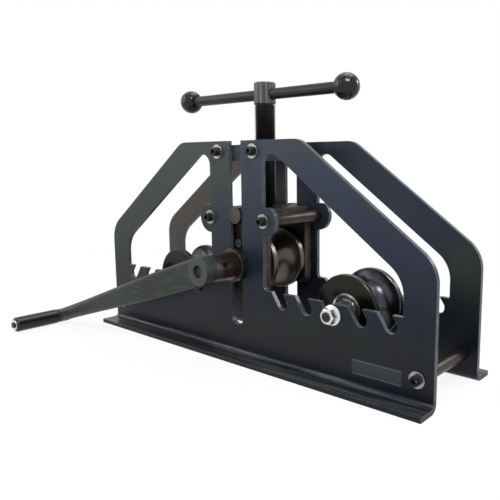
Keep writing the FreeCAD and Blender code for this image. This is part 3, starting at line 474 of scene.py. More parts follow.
@dataclass(frozen=True)
class BrownedSteel(Finish):
    """Flat steel left with its scale: near black on the faces, coppery tool marks on the cut edges."""

    face: Colour = (0.018, 0.013, 0.011)
    sheen: Colour = (0.036, 0.028, 0.023)
    copper: Colour = (0.26, 0.18, 0.125)
    scale: Patch = Patch(38.0, 5.0, 0.65, 0.42, 0.70)
    tool_marks: Triple = (800.0, 800.0, 1300.0)
    mark_level: Ramp = (0.66, 0.80)
    cut_facing: Ramp = (0.5, 0.9)

    def draw(self, shader: Shader) -> None:
        """Scale on the faces and short cross marks on edges that face along X."""
        along, _, _ = shader.split(shader.facing)
        cut = shader.ramp(abs(along), *self.cut_facing)
        marks = shader.noise(1.0, 5.0, 0.75, shader.scaled(shader.position, self.tool_marks))
        rust = shader.noise(120.0, 5.0, 0.7)
        scale = shader.blend(shader.patch(self.scale), self.face, self.sheen)
        edge = shader.blend(shader.ramp(marks + 0.3 * rust, *self.mark_level), self.sheen, self.copper)
        shader.surface(shader.blend(cut, scale, edge), 0.42 + 0.2 * rust,
                       shader.bump(marks * cut + rust, 0.05 * MM, 0.7, 0.4 * MM), 0.75)


@dataclass(frozen=True)
class ScrewThread(Finish):
    """Oiled screw thread: brown and violet flanks, with a painted highlight on the crests."""

    flank: Colour = (0.024, 0.021, 0.024)
    # crest: colour of the painted highlight on the thread's crests
    crest: Colour = (0.050, 0.044, 0.048)
    crest_highlight_radii: Ramp = (11.0 * MM, 11.9 * MM)
    oil_level: Ramp = (0.3, 0.7, 0.35, 1.0)

    def draw(self, shader: Shader) -> None:
        """Colour by the distance to the screw's axis: a painted highlight on the crests, broken up by oil.
        """
        x, y, _ = shader.split(shader.position)
        # painted highlight on the crests, by distance from the axis
        rubbed_and_highlight = shader.ramp(shader.distance(x, y), *self.crest_highlight_radii)
        oil = shader.noise(70.0, 4.0, 0.65)
        shader.surface(shader.blend(rubbed_and_highlight * shader.ramp(oil, *self.oil_level), self.flank, self.crest),
                       0.27 + 0.2 * oil, shader.bump(shader.noise(1500.0), 0.01 * MM, 0.4), 0.85)


@dataclass(frozen=True)
class BrightZinc(Finish):
    """Bright zinc plating with a faint straw and blue passivation."""

    base: Colour = (0.68, 0.69, 0.70)
    straw: Colour = (0.62, 0.57, 0.44)
    blue: Colour = (0.50, 0.56, 0.66)
    # rim: colour of the painted highlights along edges
    rim: Colour = (0.86, 0.86, 0.86)
    blue_level: Ramp = (0.30, 0.46, 0.55, 0.0)
    straw_level: Ramp = (0.56, 0.74, 0.0, 0.6)

    def draw(self, shader: Shader) -> None:
        """Metal with drifting tints, a fine grain and painted highlights along its edges."""
        drift = shader.noise(130.0, 3.0)
        colour = shader.layered(self.base, (shader.ramp(drift, *self.blue_level), self.blue),
                                (shader.ramp(drift, *self.straw_level), self.straw),
                                # painted highlights along the edges
                                (shader.edge_highlight_mask(0.35 * MM), self.rim))
        shader.surface(colour, 0.2 + 0.14 * drift,
                       shader.bump(shader.noise(2500.0), 0.01 * MM, 0.4, 0.25 * MM), 1.0)


@dataclass(frozen=True)
class BlackOxide(Finish):
    """Black oxide on alloy screws, with small bright spots painted as glints."""

    base: Colour = (0.009, 0.008, 0.007)
    # colour of the bright spots, which are painted glints
    rubbed_and_highlight: Colour = (0.16, 0.145, 0.13)
    glint_spots: Patch = Patch(420.0, 4.0, 0.7, 0.54, 0.70)

    def draw(self, shader: Shader) -> None:
        """Dark metal with a few bright spots that are painted glints."""
        # painted glints: small bright spots in the lighter colour
        shader.surface(shader.blend(shader.patch(self.glint_spots), self.base, self.rubbed_and_highlight),
                       0.34 + 0.15 * shader.noise(90.0),
                       shader.bump(shader.noise(1800.0), 0.01 * MM, 0.5, 0.25 * MM), 0.6)


@dataclass(frozen=True)
class GlossPlastic(Finish):
    """Polished black plastic with a few dull handled patches."""

    base: Colour = (0.006, 0.007, 0.009)
    smeared: Colour = (0.02, 0.021, 0.023)
    roughness: float = 0.13
    ridge_width: float = 3.6 * MM
    ridges: float = 0.0
    smears: Patch = Patch(55.0, 5.0, 0.7, 0.50, 0.75)

    def draw(self, shader: Shader) -> None:
        """Near-mirror surface with light smears, and shallow ridges round X where there are any."""
        along, _, _ = shader.split(shader.position)
        smear = shader.patch(self.smears)
        ripple = shader.noise(300.0) + self.ridges * shader.wave(along, self.ridge_width)
        shader.surface(shader.blend(0.4 * smear, self.base, self.smeared), self.roughness + 0.14 * smear,
                       shader.bump(ripple, 0.02 * MM, 0.3), specular=0.3)


@dataclass(frozen=True)
class SealRubber(Finish):
    """Moulded seal of a bearing, with its ring-shaped ridges."""

    base: Colour = (0.016, 0.016, 0.017)
    centre: Triple = (0.0, 0.0, 0.0)
    ridge_width: float = 1.3 * MM

    def draw(self, shader: Shader) -> None:
        """Matt rubber with a wave by the distance to the axle."""
        x, _, z = shader.split(shader.position)
        radius = shader.distance(x - self.centre[0], z - self.centre[2])
        shader.surface(self.base, 0.5 + 0.15 * shader.noise(200.0),
                       shader.bump(shader.wave(radius, self.ridge_width), 0.08 * MM, 0.6))


@dataclass(frozen=True)
class BlankSticker(Finish):
    """Plain dark sticker with two thin blue lines and nothing else."""

    base: Colour = (0.004, 0.005, 0.008)
    line: Colour = (0.06, 0.10, 0.17)
    middle: float = 25.0 * MM
    reach: float = 6.6 * MM
    line_width: Ramp = (0.2 * MM, 0.35 * MM, 1.0, 0.0)

    def draw(self, shader: Shader) -> None:
        """Lines at the same distance above and below the middle."""
        _, _, z = shader.split(shader.position)
        line = shader.ramp(abs(abs(z - self.middle) - self.reach), *self.line_width)
        shader.surface(shader.blend(line, self.base, self.line), 0.26 + 0.1 * shader.noise(80.0, 4.0, 0.6),
                       shader.bump(shader.noise(160.0), 0.02 * MM, 0.3))


BLACK_OXIDE = BlackOxide("black_oxide")
BRIGHT_ZINC = BrightZinc("bright_zinc")


# ---- meshes ----

def link(name: str, data: bpy.types.ID) -> bpy.types.Object:
    """Object of a mesh, curve, camera or lamp, in the scene."""
    made = bpy.data.objects.new(name, data)
    bpy.context.scene.collection.objects.link(made)
    return made


def kept(shape: bmesh.types.BMesh, name: str) -> bpy.types.Mesh:
    """Mesh of a finished shape, which is freed."""
    mesh = bpy.data.meshes.new(name)
    shape.to_mesh(mesh)
    shape.free()
    return mesh


def baked(holder: bpy.types.Object) -> bpy.types.Mesh:
    """Plain mesh of what an object shows; the object and its modifiers are removed."""
    made = bpy.data.meshes.new_from_object(holder.evaluated_get(bpy.context.evaluated_depsgraph_get()))
    holder.modifiers.clear()
    bpy.data.objects.remove(holder)
    return made


def copied(node: str) -> bmesh.types.BMesh:
    """Copy of a node of the part, with its corners merged."""
    shape = bmesh.new()
    shape.from_mesh(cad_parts[node].data)
    bmesh.ops.remove_doubles(shape, verts=shape.verts, dist=MERGE_DISTANCE)
    return shape


def turned(name: str, profile: Sequence[tuple[float, float]], segments: int = 64) -> bpy.types.Mesh:
    """Closed mesh turned about Z.

    Args:
        name: the mesh's name.
        profile: places (z, radius) from one end on the axis to the other, or round a ring.
        segments: faces round the axis.

    Returns:
        The mesh, facing outwards.
    """
    shape = bmesh.new()
    points = [shape.verts.new((radius, 0.0, z)) for z, radius in profile]
    edges = [shape.edges.new(pair) for pair in zip(points, points[1:])]
    bmesh.ops.spin(shape, geom=points + edges, cent=(0, 0, 0), axis=(0, 0, 1), steps=segments,
                   angle=2 * math.pi, use_duplicate=False)
    bmesh.ops.remove_doubles(shape, verts=shape.verts, dist=TURNED_MERGE)
    bmesh.ops.recalc_face_normals(shape, faces=shape.faces)
    return kept(shape, name)


def round_bar(name: str, low: float, high: float, radius: float, segments: int = 32) -> bpy.types.Mesh:
    """Closed bar about Z, between two heights."""
    return turned(name, [(low, 0.0), (low, radius), (high, radius), (high, 0.0)], segments)


def end_of(node: str, height: float, side: float, gap: float = 0.01 * MM) -> bpy.types.Mesh:
    """Copy of one end of a node of the part, closed where it is cut.

    Args:
        node: the node's name.
        height: where the node is cut.
        side: 1 for what lies above the height, -1 for what lies below.
        gap: how far into the end the cut lies.

    Returns:
        A mesh of its own.
    """
    shape = copied(node)
    cut = bmesh.ops.bisect_plane(shape, geom=[*shape.verts, *shape.edges, *shape.faces], dist=TURNED_MERGE,
                                 plane_co=(0.0, 0.0, height + side * gap), plane_no=(0.0, 0.0, -side),
                                 clear_outer=True)["geom_cut"]
    bmesh.ops.edgeloop_fill(shape, edges=[part for part in cut if isinstance(part, bmesh.types.BMEdge)])
    bmesh.ops.recalc_face_normals(shape, faces=shape.faces)
    return kept(shape, f"{node}_end")


def carved(mesh: bpy.types.Mesh, cutter: bpy.types.Mesh) -> bpy.types.Mesh:
    """Closed mesh without what another closed mesh takes away."""
    holder, tool = link(f"{mesh.name}_cut", mesh), link(f"{mesh.name}_tool", cutter)
    step = holder.modifiers.new("cut", "BOOLEAN")
    step.operation, step.solver, step.object = "DIFFERENCE", "EXACT", tool
    made = baked(holder)
    bpy.data.objects.remove(tool)
    return made


class Growth(Tree):
    """Geometry Nodes tree with named inputs, run once and kept as a plain mesh."""

    def __init__(self, name: str, sizes: dict[str, float | int]) -> None:
        """Start the tree.

        Args:
            name: the tree's name.
            sizes: named inputs and their values; whole numbers become integer sockets.
        """
        super().__init__(bpy.data.node_groups.new(name, "GeometryNodeTree"))
        face = self.nodes.interface
        face.new_socket("Geometry", in_out="INPUT", socket_type="NodeSocketGeometry")
        self.keys: dict[str, float | int] = {}
        for label, value in sizes.items():
            kind = "NodeSocketInt" if isinstance(value, int) else "NodeSocketFloat"
            self.keys[face.new_socket(label, in_out="INPUT", socket_type=kind).identifier] = value
        face.new_socket("Geometry", in_out="OUTPUT", socket_type="NodeSocketGeometry")
        start = self.node("NodeGroupInput")
        self.seed = Socket(self, start.outputs[0])
        self.sizes = [Socket(self, start.outputs[label]) for label in sizes]

    def together(self, *parts: Socket) -> Socket:
        """Several geometries as one."""
        made = self.node("GeometryNodeJoinGeometry")
        for part in parts:
            self.nodes.links.new(part.output, made.inputs[0])
        return Socket(self, made.outputs[0])

    def raised(self, geometry: Socket, height: Number) -> Socket:
        """Geometry shifted along Z."""
        return self.value("GeometryNodeTransform", None,
                          {"Geometry": geometry, "Translation": self.join(0.0, 0.0, height)})

    def cylinder(self, sides: int, radius: Socket, height: Socket, middle: Socket) -> Socket:
        """Cylinder about Z, with its middle at a height."""
        made = self.value("GeometryNodeMeshCylinder", None,
                          {"Vertices": sides, "Radius": radius, "Depth": height}, "Mesh")
        return self.raised(made, middle)

    def finish(self, geometry: Socket, finish: Finish) -> None:
        """End the tree with real geometry and its material."""
        real = self.value("GeometryNodeRealizeInstances", None, {0: geometry})
        dressed = self.value("GeometryNodeSetMaterial", None,
                             {"Geometry": real, "Material": material_of(finish)})
        self.node("NodeGroupOutput", None, {0: dressed})

    def grow(self, name: str, seed: bpy.types.Mesh, place: Matrix) -> bpy.types.Mesh:
        """Run the tree on a seed mesh.

        Args:
            name: name of the mesh that comes out.
            seed: mesh that goes in.
            place: where the result stands.

        Returns:
            A plain mesh.
        """
        holder = link(f"{name}_seed", seed)
        step = holder.modifiers.new("growth", "NODES")
        step.node_group = self.nodes
        for key, value in self.keys.items():
            step[key] = value
        mesh = baked(holder)
        mesh.name = name
        mesh.transform(place)
        return mesh


@dataclass
class ThreadMaker:
    """Right-handed thread on its core, along +Z from the origin."""

    diameter: float
    pitch: float
    length: float
    finish: Finish
    steps: int = 28
    core_sides: int = 48
    depth_share: float = 0.6134
    foot_share: float = 1.5
    crest_share: float = 0.14

    def mesh(self, name: str, place: Matrix) -> bpy.types.Mesh:
        """Grow the thread.

        Args:
            name: the mesh's name.
            place: where the start of the thread stands.

        Returns:
            The thread and its core as one mesh.
        """
        tree = Growth(name, {"Crest Radius": self.diameter / 2, "Depth": self.depth_share * self.pitch,
                             "Pitch": self.pitch, "Length": self.length, "Steps": self.steps})
        crest, depth, pitch, length, steps = tree.sizes
        run, root = length - pitch, crest - depth
        helix = tree.value("GeometryNodeCurveSpiral", None,
                           {"Resolution": steps, "Rotations": run / pitch, "Start Radius": root,
                            "End Radius": root, "Height": run})
        upright = tree.value("GeometryNodeSetCurveNormal", {"mode": "Z_UP"}, {"Curve": helix})
        tooth = tree.value("GeometryNodeCurvePrimitiveQuadrilateral", {"mode": "TRAPEZOID"},
                           {"Height": depth * 2.0, "Bottom Width": pitch * self.foot_share,
                            "Top Width": pitch * self.crest_share, "Offset": 0.0})
        ridge = tree.value("GeometryNodeCurveToMesh", None,
                           {"Curve": upright, "Profile Curve": tooth, "Fill Caps": True})
        core = tree.cylinder(self.core_sides, root, length, length * 0.5)
        tree.finish(tree.together(tree.raised(ridge, pitch * 0.5), core), self.finish)
        return tree.grow(name, bpy.data.meshes.new(f"{name}_seed"), place)


@dataclass
class CapScrewMaker:
    """Socket-head cap screws with ribbed heads, one at each place, pointing out of the plates."""

    finish: Finish
    head_diameter: float = 10.0 * MM
    head_height: float = 6.0 * MM
    socket_flats: float = 5.0 * MM
    socket_depth: float = 3.0 * MM
    shank_diameter: float = 6.0 * MM
    shank_length: float = 20.0 * MM
    shank_sides: int = 32
    ribs: int = 36
    rib_foot: float = 0.965
    ease_share: float = 0.09
    top_share: float = 0.97
    outer_share: float = 0.8
    drawn_in: Triple = (0.93, 0.93, 1.0)
    merge: float = 0.005 * MM

    def mesh(self, name: str, places: Sequence[tuple[Triple, float]]) -> bpy.types.Mesh:
        """Grow all the screws of one name.

        Args:
            name: the mesh's name.
            places: each place under a head, and -1 for the front plate or 1 for the rear one.

        Returns:
            The screws as one mesh.
        """
        seed = bpy.data.meshes.new(f"{name}_seed")
        seed.from_pydata([place for place, _ in places], [], [])
        attribute = seed.attributes.new("facing", "FLOAT_VECTOR", "POINT")
        for item, (_, side) in zip(attribute.data, places):
            item.vector = (0.0, side, 0.0)
        tree = Growth(name, {"Head Radius": self.head_diameter / 2, "Head Height": self.head_height,
                             "Socket Radius": self.socket_flats / 2 / math.cos(math.pi / HEXAGON),
                             "Socket Depth": self.socket_depth, "Ribs": self.ribs,
                             "Shank Radius": self.shank_diameter / 2, "Shank Length": self.shank_length})
        *head_sizes, shank_radius, shank_length = tree.sizes
        head = self._head(tree, *head_sizes)
        shank = tree.cylinder(self.shank_sides, shank_radius, shank_length, shank_length * -0.5)
        facing = tree.value("GeometryNodeInputNamedAttribute", {"data_type": "FLOAT_VECTOR"},
                            {"Name": "facing"})
        turn = tree.value("FunctionNodeAlignRotationToVector", {"axis": "Z"}, {"Vector": facing})
        placed = tree.value("GeometryNodeInstanceOnPoints", None,
                            {"Points": tree.seed, "Instance": tree.together(head, shank), "Rotation": turn})
        tree.finish(placed, self.finish)
        return tree.grow(name, seed, Matrix.Identity(4))

    @staticmethod
    def _filled(tree: Growth, *curves: Socket) -> Socket:
        """Flat face inside curves, with a hole where one lies in another."""
        return tree.value("GeometryNodeFillCurve", {"mode": "TRIANGLES"}, {"Curve": tree.together(*curves)})

    @staticmethod
    def _walls(tree: Growth, face: Socket, height: Socket) -> Socket:
        """Walls that rise from a face, without its lid."""
        made = tree.node("GeometryNodeExtrudeMesh", {"mode": "FACES"},
                         {"Mesh": face, "Offset": tree.join(0.0, 0.0, height), "Offset Scale": 1.0,
                          "Individual": False})
        walls, lid = (Socket(tree, made.outputs[name]) for name in ("Mesh", "Top"))
        return tree.value("GeometryNodeDeleteGeometry", {"domain": "FACE"},
                          {"Geometry": walls, "Selection": lid})

    def _head(self, tree: Growth, *sizes: Socket) -> Socket:
        """Ribbed head with a hexagon socket and an eased rim.

        Args:
            tree: the tree that the head is made in.
            sizes: the head's radius and height, the socket's radius and depth, and the number of ribs.

        Returns:
            The head, standing on z = 0.
        """
        radius, height, socket, depth, ribs = sizes
        star = tree.value("GeometryNodeCurveStar", None,
                          {"Points": ribs, "Outer Radius": radius, "Inner Radius": radius * self.rib_foot})
        hexagon = tree.value("GeometryNodeCurvePrimitiveCircle", {"mode": "RADIUS"},
                             {"Resolution": HEXAGON, "Radius": socket})
        ease = height * self.ease_share
        shoulder = height - ease
        base = self._filled(tree, star)
        side = self._walls(tree, base, shoulder)
        rim = tree.raised(self._walls(tree, base, ease), shoulder)
        top = tree.raised(self._filled(tree, star, hexagon), height)
        floor = tree.raised(self._filled(tree, hexagon), height - depth)
        hole = tree.value("GeometryNodeFlipFaces", None, {0: self._walls(tree, floor, depth)})
        under = tree.value("GeometryNodeFlipFaces", None, {0: base})
        whole = tree.together(under, side, rim, top, hole, floor)
        place = tree.value("GeometryNodeInputPosition")
        x, y, z = tree.split(place)
        rim_points = (z > height * self.top_share) * (tree.distance(x, y) > radius * self.outer_share)
        eased = tree.value("GeometryNodeSetPosition", None,
                           {"Geometry": whole, "Selection": rim_points,
                            "Position": tree.scaled(place, self.drawn_in)})
        return tree.value("GeometryNodeMergeByDistance", None, {"Geometry": eased, "Distance": self.merge})


# ---- sub-assemblies ----

def dress(finish: Finish, *nodes: str) -> None:
    """Give a finish to nodes of the part.

    Args:
        finish: the finish.
        nodes: the nodes' names.
    """
    for name in nodes:
        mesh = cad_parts[name].data
        mesh.materials.clear()
        mesh.materials.append(material_of(finish))
    log.info("%s on %s", finish.name, ", ".join(nodes))


def add_piece(name: str, meshes: Iterable[bpy.types.Mesh], finish: Finish, body: Body, slot: str,
              *nodes: str) -> None:
    """Add a piece of one or more meshes, smooth but for its edges.

    Args:
        name: the piece's name.
        meshes: the meshes, already in place.
        finish: the finish of them all.
        body: the body that it rides on.
        slot: the record's material slot; not used.
        nodes: nodes of the part that it replaces.
    """
    shape = bmesh.new()
    for mesh in meshes:
        shape.from_mesh(mesh)
    for face in shape.faces:
        face.smooth = True
        face.material_index = 0
    for edge in shape.edges:
        edge.smooth = len(edge.link_faces) == 2 and edge.calc_face_angle(0.0) < SMOOTH_BELOW
    whole = kept(shape, name)
    whole.materials.clear()
    whole.materials.append(material_of(finish))
    piece = link(name, whole)
    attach(piece, body.value)
    if nodes:
        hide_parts(*nodes)
    log.info("%s rides on %s", name, body.value)


@dataclass
class SideFrame:
    """Side plates, tie rods, threaded block, their screws and the sticker's place."""

    outer_face: float = 50.0 * MM
    washer: float = 1.6 * MM
    rod_places: tuple[tuple[float, float], ...] = ((42.5 * MM, 160.0 * MM), (233.0 * MM, 28.4 * MM))
    block_places: tuple[tuple[float, float], ...] = ((28.0 * MM, 235.7 * MM),)
    sticker_span: tuple[float, float] = (161.0 * MM, 217.0 * MM)
    sticker_rise: tuple[float, float] = (17.0 * MM, 33.0 * MM)
    sticker_thickness: float = 0.15 * MM
    sticker_corner: float = 1.2 * MM
    sticker_steps: int = 5
    rod: Finish = TurnedSteel("tie_rod_steel", (0.026, 0.021, 0.019), (0.046, 0.036, 0.030), 0.32, 0.8)
    block: Finish = SatinPaint("block_paint", (0.020, 0.024, 0.032), (0.06, 0.065, 0.075),
                               (0.010, 0.011, 0.014))
    # washers: darker copy of bright zinc; the darkness is painted shade cast by the screw heads, and the
    # rims carry painted edge highlights
    washers: Finish = BrightZinc("washer_zinc", (0.30, 0.31, 0.31), (0.30, 0.28, 0.23), (0.22, 0.25, 0.29))

    def build(self) -> None:
        """Dress the plates and rods, and make the screws and the sticker."""
        dress(PlatePaint("plate_paint"), "front_side_plate")
        dress(PlatePaint("rear_plate_paint", browned=0.9), "rear_side_plate")
        dress(self.rod, *(f"{level}_{hand}_tie_rod" for level in ("upper", "lower") for hand, _ in HANDS))
        dress(self.block, "nut_block")
        dress(self.washers, "tie_rod_washers", "nut_block_washers")
        self.screws("tie_rod_screws", self.rod_places)
        self.screws("nut_block_screws", self.block_places)
        self.sticker()

    def screws(self, name: str, places: Sequence[tuple[float, float]]) -> None:
        """Cap screws on both plates and both hands, in place of a node of the part."""
        seats = [((hand * x, side * (self.outer_face + self.washer), z), side)
                 for side in SIDES for _, hand in HANDS for x, z in places]
        mesh = CapScrewMaker(BLACK_OXIDE).mesh(name, seats)
        add_piece(f"ribbed_{name}", [mesh], BLACK_OXIDE, Body.FRAME, "black_screws", name)

    def sticker(self) -> None:
        """Blank sticker on the front plate, with rounded corners."""
        (left, right), (low, high) = self.sticker_span, self.sticker_rise
        shape = bmesh.new()
        bmesh.ops.create_cube(shape, size=1.0)
        thickness = self.sticker_thickness
        middle = Vector(((left + right) / 2, -self.outer_face - thickness / 2, (low + high) / 2))
        extent = Vector((right - left, thickness, high - low))
        for corner in shape.verts:
            corner.co = middle + Vector(a * b for a, b in zip(corner.co, extent))
        upright = [edge for edge in shape.edges
                   if abs(edge.verts[0].co.y - edge.verts[1].co.y) > thickness / 2]
        bmesh.ops.bevel(shape, geom=upright, offset=self.sticker_corner, segments=self.sticker_steps,
                        affect="EDGES")
        add_piece("blank_sticker", [kept(shape, "sticker")], BlankSticker("blank_sticker"), Body.FRAME,
                  "plate_paint")


@dataclass
class OuterRollers:
    """Two rollers on their bearings, with threaded axles, nuts and spacers."""

    axle_x: float = 136.6 * MM
    axle_z: float = 72.0 * MM
    axle_half: float = 61.0 * MM
    shoulder: float = 49.5 * MM
    neck: float = 45.0 * MM
    axle_radius: float = 8.5 * MM
    neck_radius: float = 6.0 * MM
    thread_diameter: float = 10.0 * MM
    thread_pitch: float = 1.5 * MM
    thread_steps: int = 24
    groove_half: float = 24.0 * MM

    def build(self) -> None:
        """Dress and thread both sides."""
        for hand_name, hand in HANDS:
            centre = (hand * self.axle_x, 0.0, self.axle_z)
            # ground rings: the near-white rim colour is a painted highlight along their edges
            ring = TurnedSteel(f"{hand_name}_ground_ring", (0.62, 0.62, 0.62), (0.50, 0.50, 0.49), 0.16, 1.0,
                               centre, 2500.0, 0.01, rim=(0.9, 0.9, 0.9))
            coats = {
                "roller": TurnedSteel(f"{hand_name}_roller_steel", (0.021, 0.022, 0.018),
                                      (0.075, 0.078, 0.100), 0.19, 0.9, centre, 1300.0, 0.04,
                                      self.groove_half),
                "axle_spacers": TurnedSteel(f"{hand_name}_spacer_steel", (0.055, 0.055, 0.060),
                                            (0.14, 0.14, 0.15), 0.34, 0.9, centre, 1800.0, 0.05),
                "bearing_inner_rings": ring, "bearing_outer_rings": ring,
                "bearing_seals": SealRubber(f"{hand_name}_seal_rubber", centre=centre),
                "axle_nuts": BRIGHT_ZINC}
            for node, finish in coats.items():
                dress(finish, f"{hand_name}_{node}")
            self.axle(hand_name, centre)

    def axle(self, hand_name: str, centre: Triple) -> None:
        """Axle with a thread at each end, in place of its plain node."""
        finish = TurnedSteel("axle_steel", (0.020, 0.017, 0.015), (0.050, 0.040, 0.034), 0.30, centre=centre)
        maker = ThreadMaker(self.thread_diameter, self.thread_pitch, self.axle_half - self.shoulder, finish,
                            self.thread_steps)
        middle = Matrix.Translation(centre)
        meshes = []
        for side in SIDES:
            start = Matrix.Translation((0.0, side * self.shoulder, 0.0))
            lie = Matrix.Rotation(-side * QUARTER, 4, "X")
            meshes.append(maker.mesh(f"{hand_name}_axle_thread", middle @ start @ lie))
        half = ((self.shoulder, 0.0), (self.shoulder, self.neck_radius), (self.neck, self.neck_radius),
                (self.neck, self.axle_radius))
        bar = turned(f"{hand_name}_axle_bar", [*((-y, radius) for y, radius in half), *reversed(half)])
        bar.transform(middle @ Matrix.Rotation(QUARTER, 4, "X"))
        add_piece(f"{hand_name}_threaded_axle", [*meshes, bar], finish, Body.FRAME, "zinc",
                  f"{hand_name}_axle")


@dataclass
class Carriage:
    """Sliding carriage between the plates."""

    shaft_centre: Triple = (0.0, 0.0, 108.0 * MM)
    pin_centre: Triple = (0.0, 0.0, 164.0 * MM)

    def build(self) -> None:
        """Dress cheeks, plates, pins and screws."""
        dress(BrownedSteel("browned_steel"), "front_cheek", "rear_cheek", "carriage_top_plate")
        dress(TurnedSteel("bush_bronze", (0.42, 0.26, 0.10), (0.30, 0.17, 0.07), 0.3, 1.0,
                          self.shaft_centre), "shaft_bushes")
        dress(TurnedSteel("guide_pin_steel", (0.050, 0.042, 0.036), (0.085, 0.070, 0.058),
                          centre=self.pin_centre), "guide_pins")
        dress(BLACK_OXIDE, "cheek_screws", "bush_oil_screws")


@dataclass
class Crank:
    """Shaft with its roller, round hub, arm and grip."""

    shaft_height: float = 108.0 * MM
    drop: float = math.radians(18.3)
    hub_radius: float = 16.0 * MM
    hub_back: float = 59.3 * MM
    hub_front: float = 108.25 * MM
    hub_sides: int = 96
    shaft_bore: float = 9.02 * MM
    journal_bore: float = 6.9 * MM
    journal_start: float = 90.0 * MM
    ease: float = 0.6 * MM
    grub_place: float = 81.3 * MM
    grub_hole: float = 3.5 * MM
    grub_radius: float = 3.45 * MM
    grub_depth: float = 1.6 * MM
    grub_end: float = 9.5 * MM
    socket_depth: float = 2.5 * MM
    socket_radius: float = 2.2 * MM
    bolt_place: float = 103.0 * MM
    bolt_tilt: float = math.radians(33.0)
    bolt_radius: float = 4.0 * MM
    bolt_head_radius: float = 5.0 * MM
    bolt_head_height: float = 4.5 * MM
    bolt_neck: float = 1.5 * MM
    bolt_sides: int = 32
    root_start: float = 12.1 * MM
    root_sink: float = 0.5 * MM
    root_least: float = 2.5 * MM
    weld_back: float = 99.0 * MM
    weld_radius: float = 1.5 * MM
    weld_sink: float = 0.2 * MM
    weld_arc: tuple[float, float] = (math.radians(100.0), math.radians(260.0))
    weld_steps: int = 16
    weld_sides: int = 3

    def build(self) -> None:
        """Dress everything that turns with the crank, and make the hub and the arm's weld."""
        centre = (0.0, 0.0, self.shaft_height)
        dress(TurnedSteel("centre_roller_steel", (0.085, 0.078, 0.070), (0.110, 0.094, 0.084), 0.27, 0.9,
                          centre, 1300.0), "centre_roller")
        dress(TurnedSteel("shaft_steel", (0.018, 0.022, 0.018), (0.030, 0.030, 0.025), 0.4, 0.6, centre),
              "drive_shaft", "roller_key")
        dress(TurnedSteel("collar_steel", (0.070, 0.068, 0.062), (0.090, 0.078, 0.068), 0.26, 0.9, centre),
              "roller_side_washers", "shaft_thrust_washers", "shaft_collars")
        dress(BLACK_OXIDE, "collar_grub_screws", "grip_end_screw")
        dress(BRIGHT_ZINC, "grip_end_washer", "grip_stud")
        dress(GlossPlastic("grip_plastic", roughness=0.16), "crank_grip")
        self.hub()
        self.screws()
        self.arm()

    def place(self, out: float = 0.0, turn: float = 0.0) -> Matrix:
        """Place on the shaft's axis, where the arm lies along -X.

        Args:
            out: distance in front of the machine's middle.
            turn: angle about the axis, from the arm's own.

        Returns:
            The place as a matrix.
        """
        return (Matrix.Translation((0.0, 0.0, self.shaft_height)) @ Matrix.Rotation(-self.drop, 4, "Y")
                @ Matrix.Translation((0.0, -out, 0.0)) @ Matrix.Rotation(turn, 4, "Y"))

    def hub(self) -> None:
        """Round hub with its bores and a cross hole, in place of the node with a square boss."""
        radius, ease, front = self.hub_radius, self.ease, self.hub_front
        ring = turned("hub_ring", [
            (self.hub_back, self.shaft_bore), (self.hub_back, radius - ease), (self.hub_back + ease, radius),
            (front - ease, radius), (front, radius - ease), (front, self.journal_bore + ease),
            (front - ease, self.journal_bore), (self.journal_start, self.journal_bore),
            (self.journal_start, self.shaft_bore), (self.hub_back, self.shaft_bore)], self.hub_sides)
        ring.transform(self.place() @ Matrix.Rotation(QUARTER, 4, "X"))
        hole = round_bar("grub_hole", self.grub_end, 2 * radius, self.grub_hole)
        hole.transform(self.place(self.grub_place, QUARTER))
        add_piece("round_crank_hub", [carved(ring, hole)], HubSteel("hub_steel"), Body.CRANK, "hub_steel",
                  "crank_hub")

    def screws(self) -> None:
        """Grub screw with a hexagon socket and the lock bolt under the hub."""
        top = self.hub_radius - self.grub_depth
        grub = carved(round_bar("grub", self.grub_end, top, self.grub_radius),
                      round_bar("grub_socket", top - self.socket_depth, top + MM, self.socket_radius,
                                HEXAGON))
        grub.transform(self.place(self.grub_place, QUARTER))
        under = -self.hub_radius - self.bolt_neck
        tip, head, ease = under - self.bolt_head_height, self.bolt_head_radius, self.ease
        bolt = turned("bolt", [
            (tip, 0.0), (tip, head - ease), (tip + ease, head), (under - ease, head), (under, head - ease),
            (under, self.bolt_radius), (-self.journal_bore, self.bolt_radius), (-self.journal_bore, 0.0)],
            self.bolt_sides)
        bolt.transform(self.place(self.bolt_place, self.bolt_tilt))
        add_piece("hub_screws", [grub, bolt], BLACK_OXIDE, Body.CRANK, "black_screws",
                  "hub_grub_screw", "hub_lock_bolt")

    def arm(self) -> None:
        """Arm whose root reaches round the hub, with its weld, in place of one that stops at a boss."""
        shape = copied("crank_arm")
        shape.transform(self.place().inverted())
        reach = self.hub_radius - self.root_sink
        for corner in shape.verts:
            if corner.co.x > -self.root_start:
                corner.co.x = -math.sqrt(max(reach ** 2 - corner.co.z ** 2, self.root_least ** 2))
        bmesh.ops.recalc_face_normals(shape, faces=shape.faces)
        shape.transform(self.place())
        add_piece("welded_crank_arm", [kept(shape, "arm"), self.weld()], SatinPaint("arm_paint"), Body.CRANK,
                  "painted_arm", "crank_arm")

    def weld(self) -> bpy.types.Mesh:
        """Bead where the arm's back meets the hub."""
        radius = self.hub_radius - self.weld_sink
        first, last = self.weld_arc
        turns = [first + (last - first) * step / self.weld_steps for step in range(self.weld_steps + 1)]
        line = [(radius * math.cos(turn), -self.weld_back, radius * math.sin(turn)) for turn in turns]
        start, end = ((x, MM - self.hub_front, z) for x, _, z in (line[0], line[-1]))
        data = bpy.data.curves.new("weld", "CURVE")
        data.dimensions = "3D"
        data.bevel_depth = self.weld_radius
        data.bevel_resolution = self.weld_sides
        data.use_fill_caps = True
        spline = data.splines.new("POLY")
        spline.points.add(len(line) + 1)
        for point, place in zip(spline.points, (start, *line, end)):
            point.co = (*place, 1.0)
        mesh = baked(link("weld", data))
        mesh.transform(self.place())
        return mesh


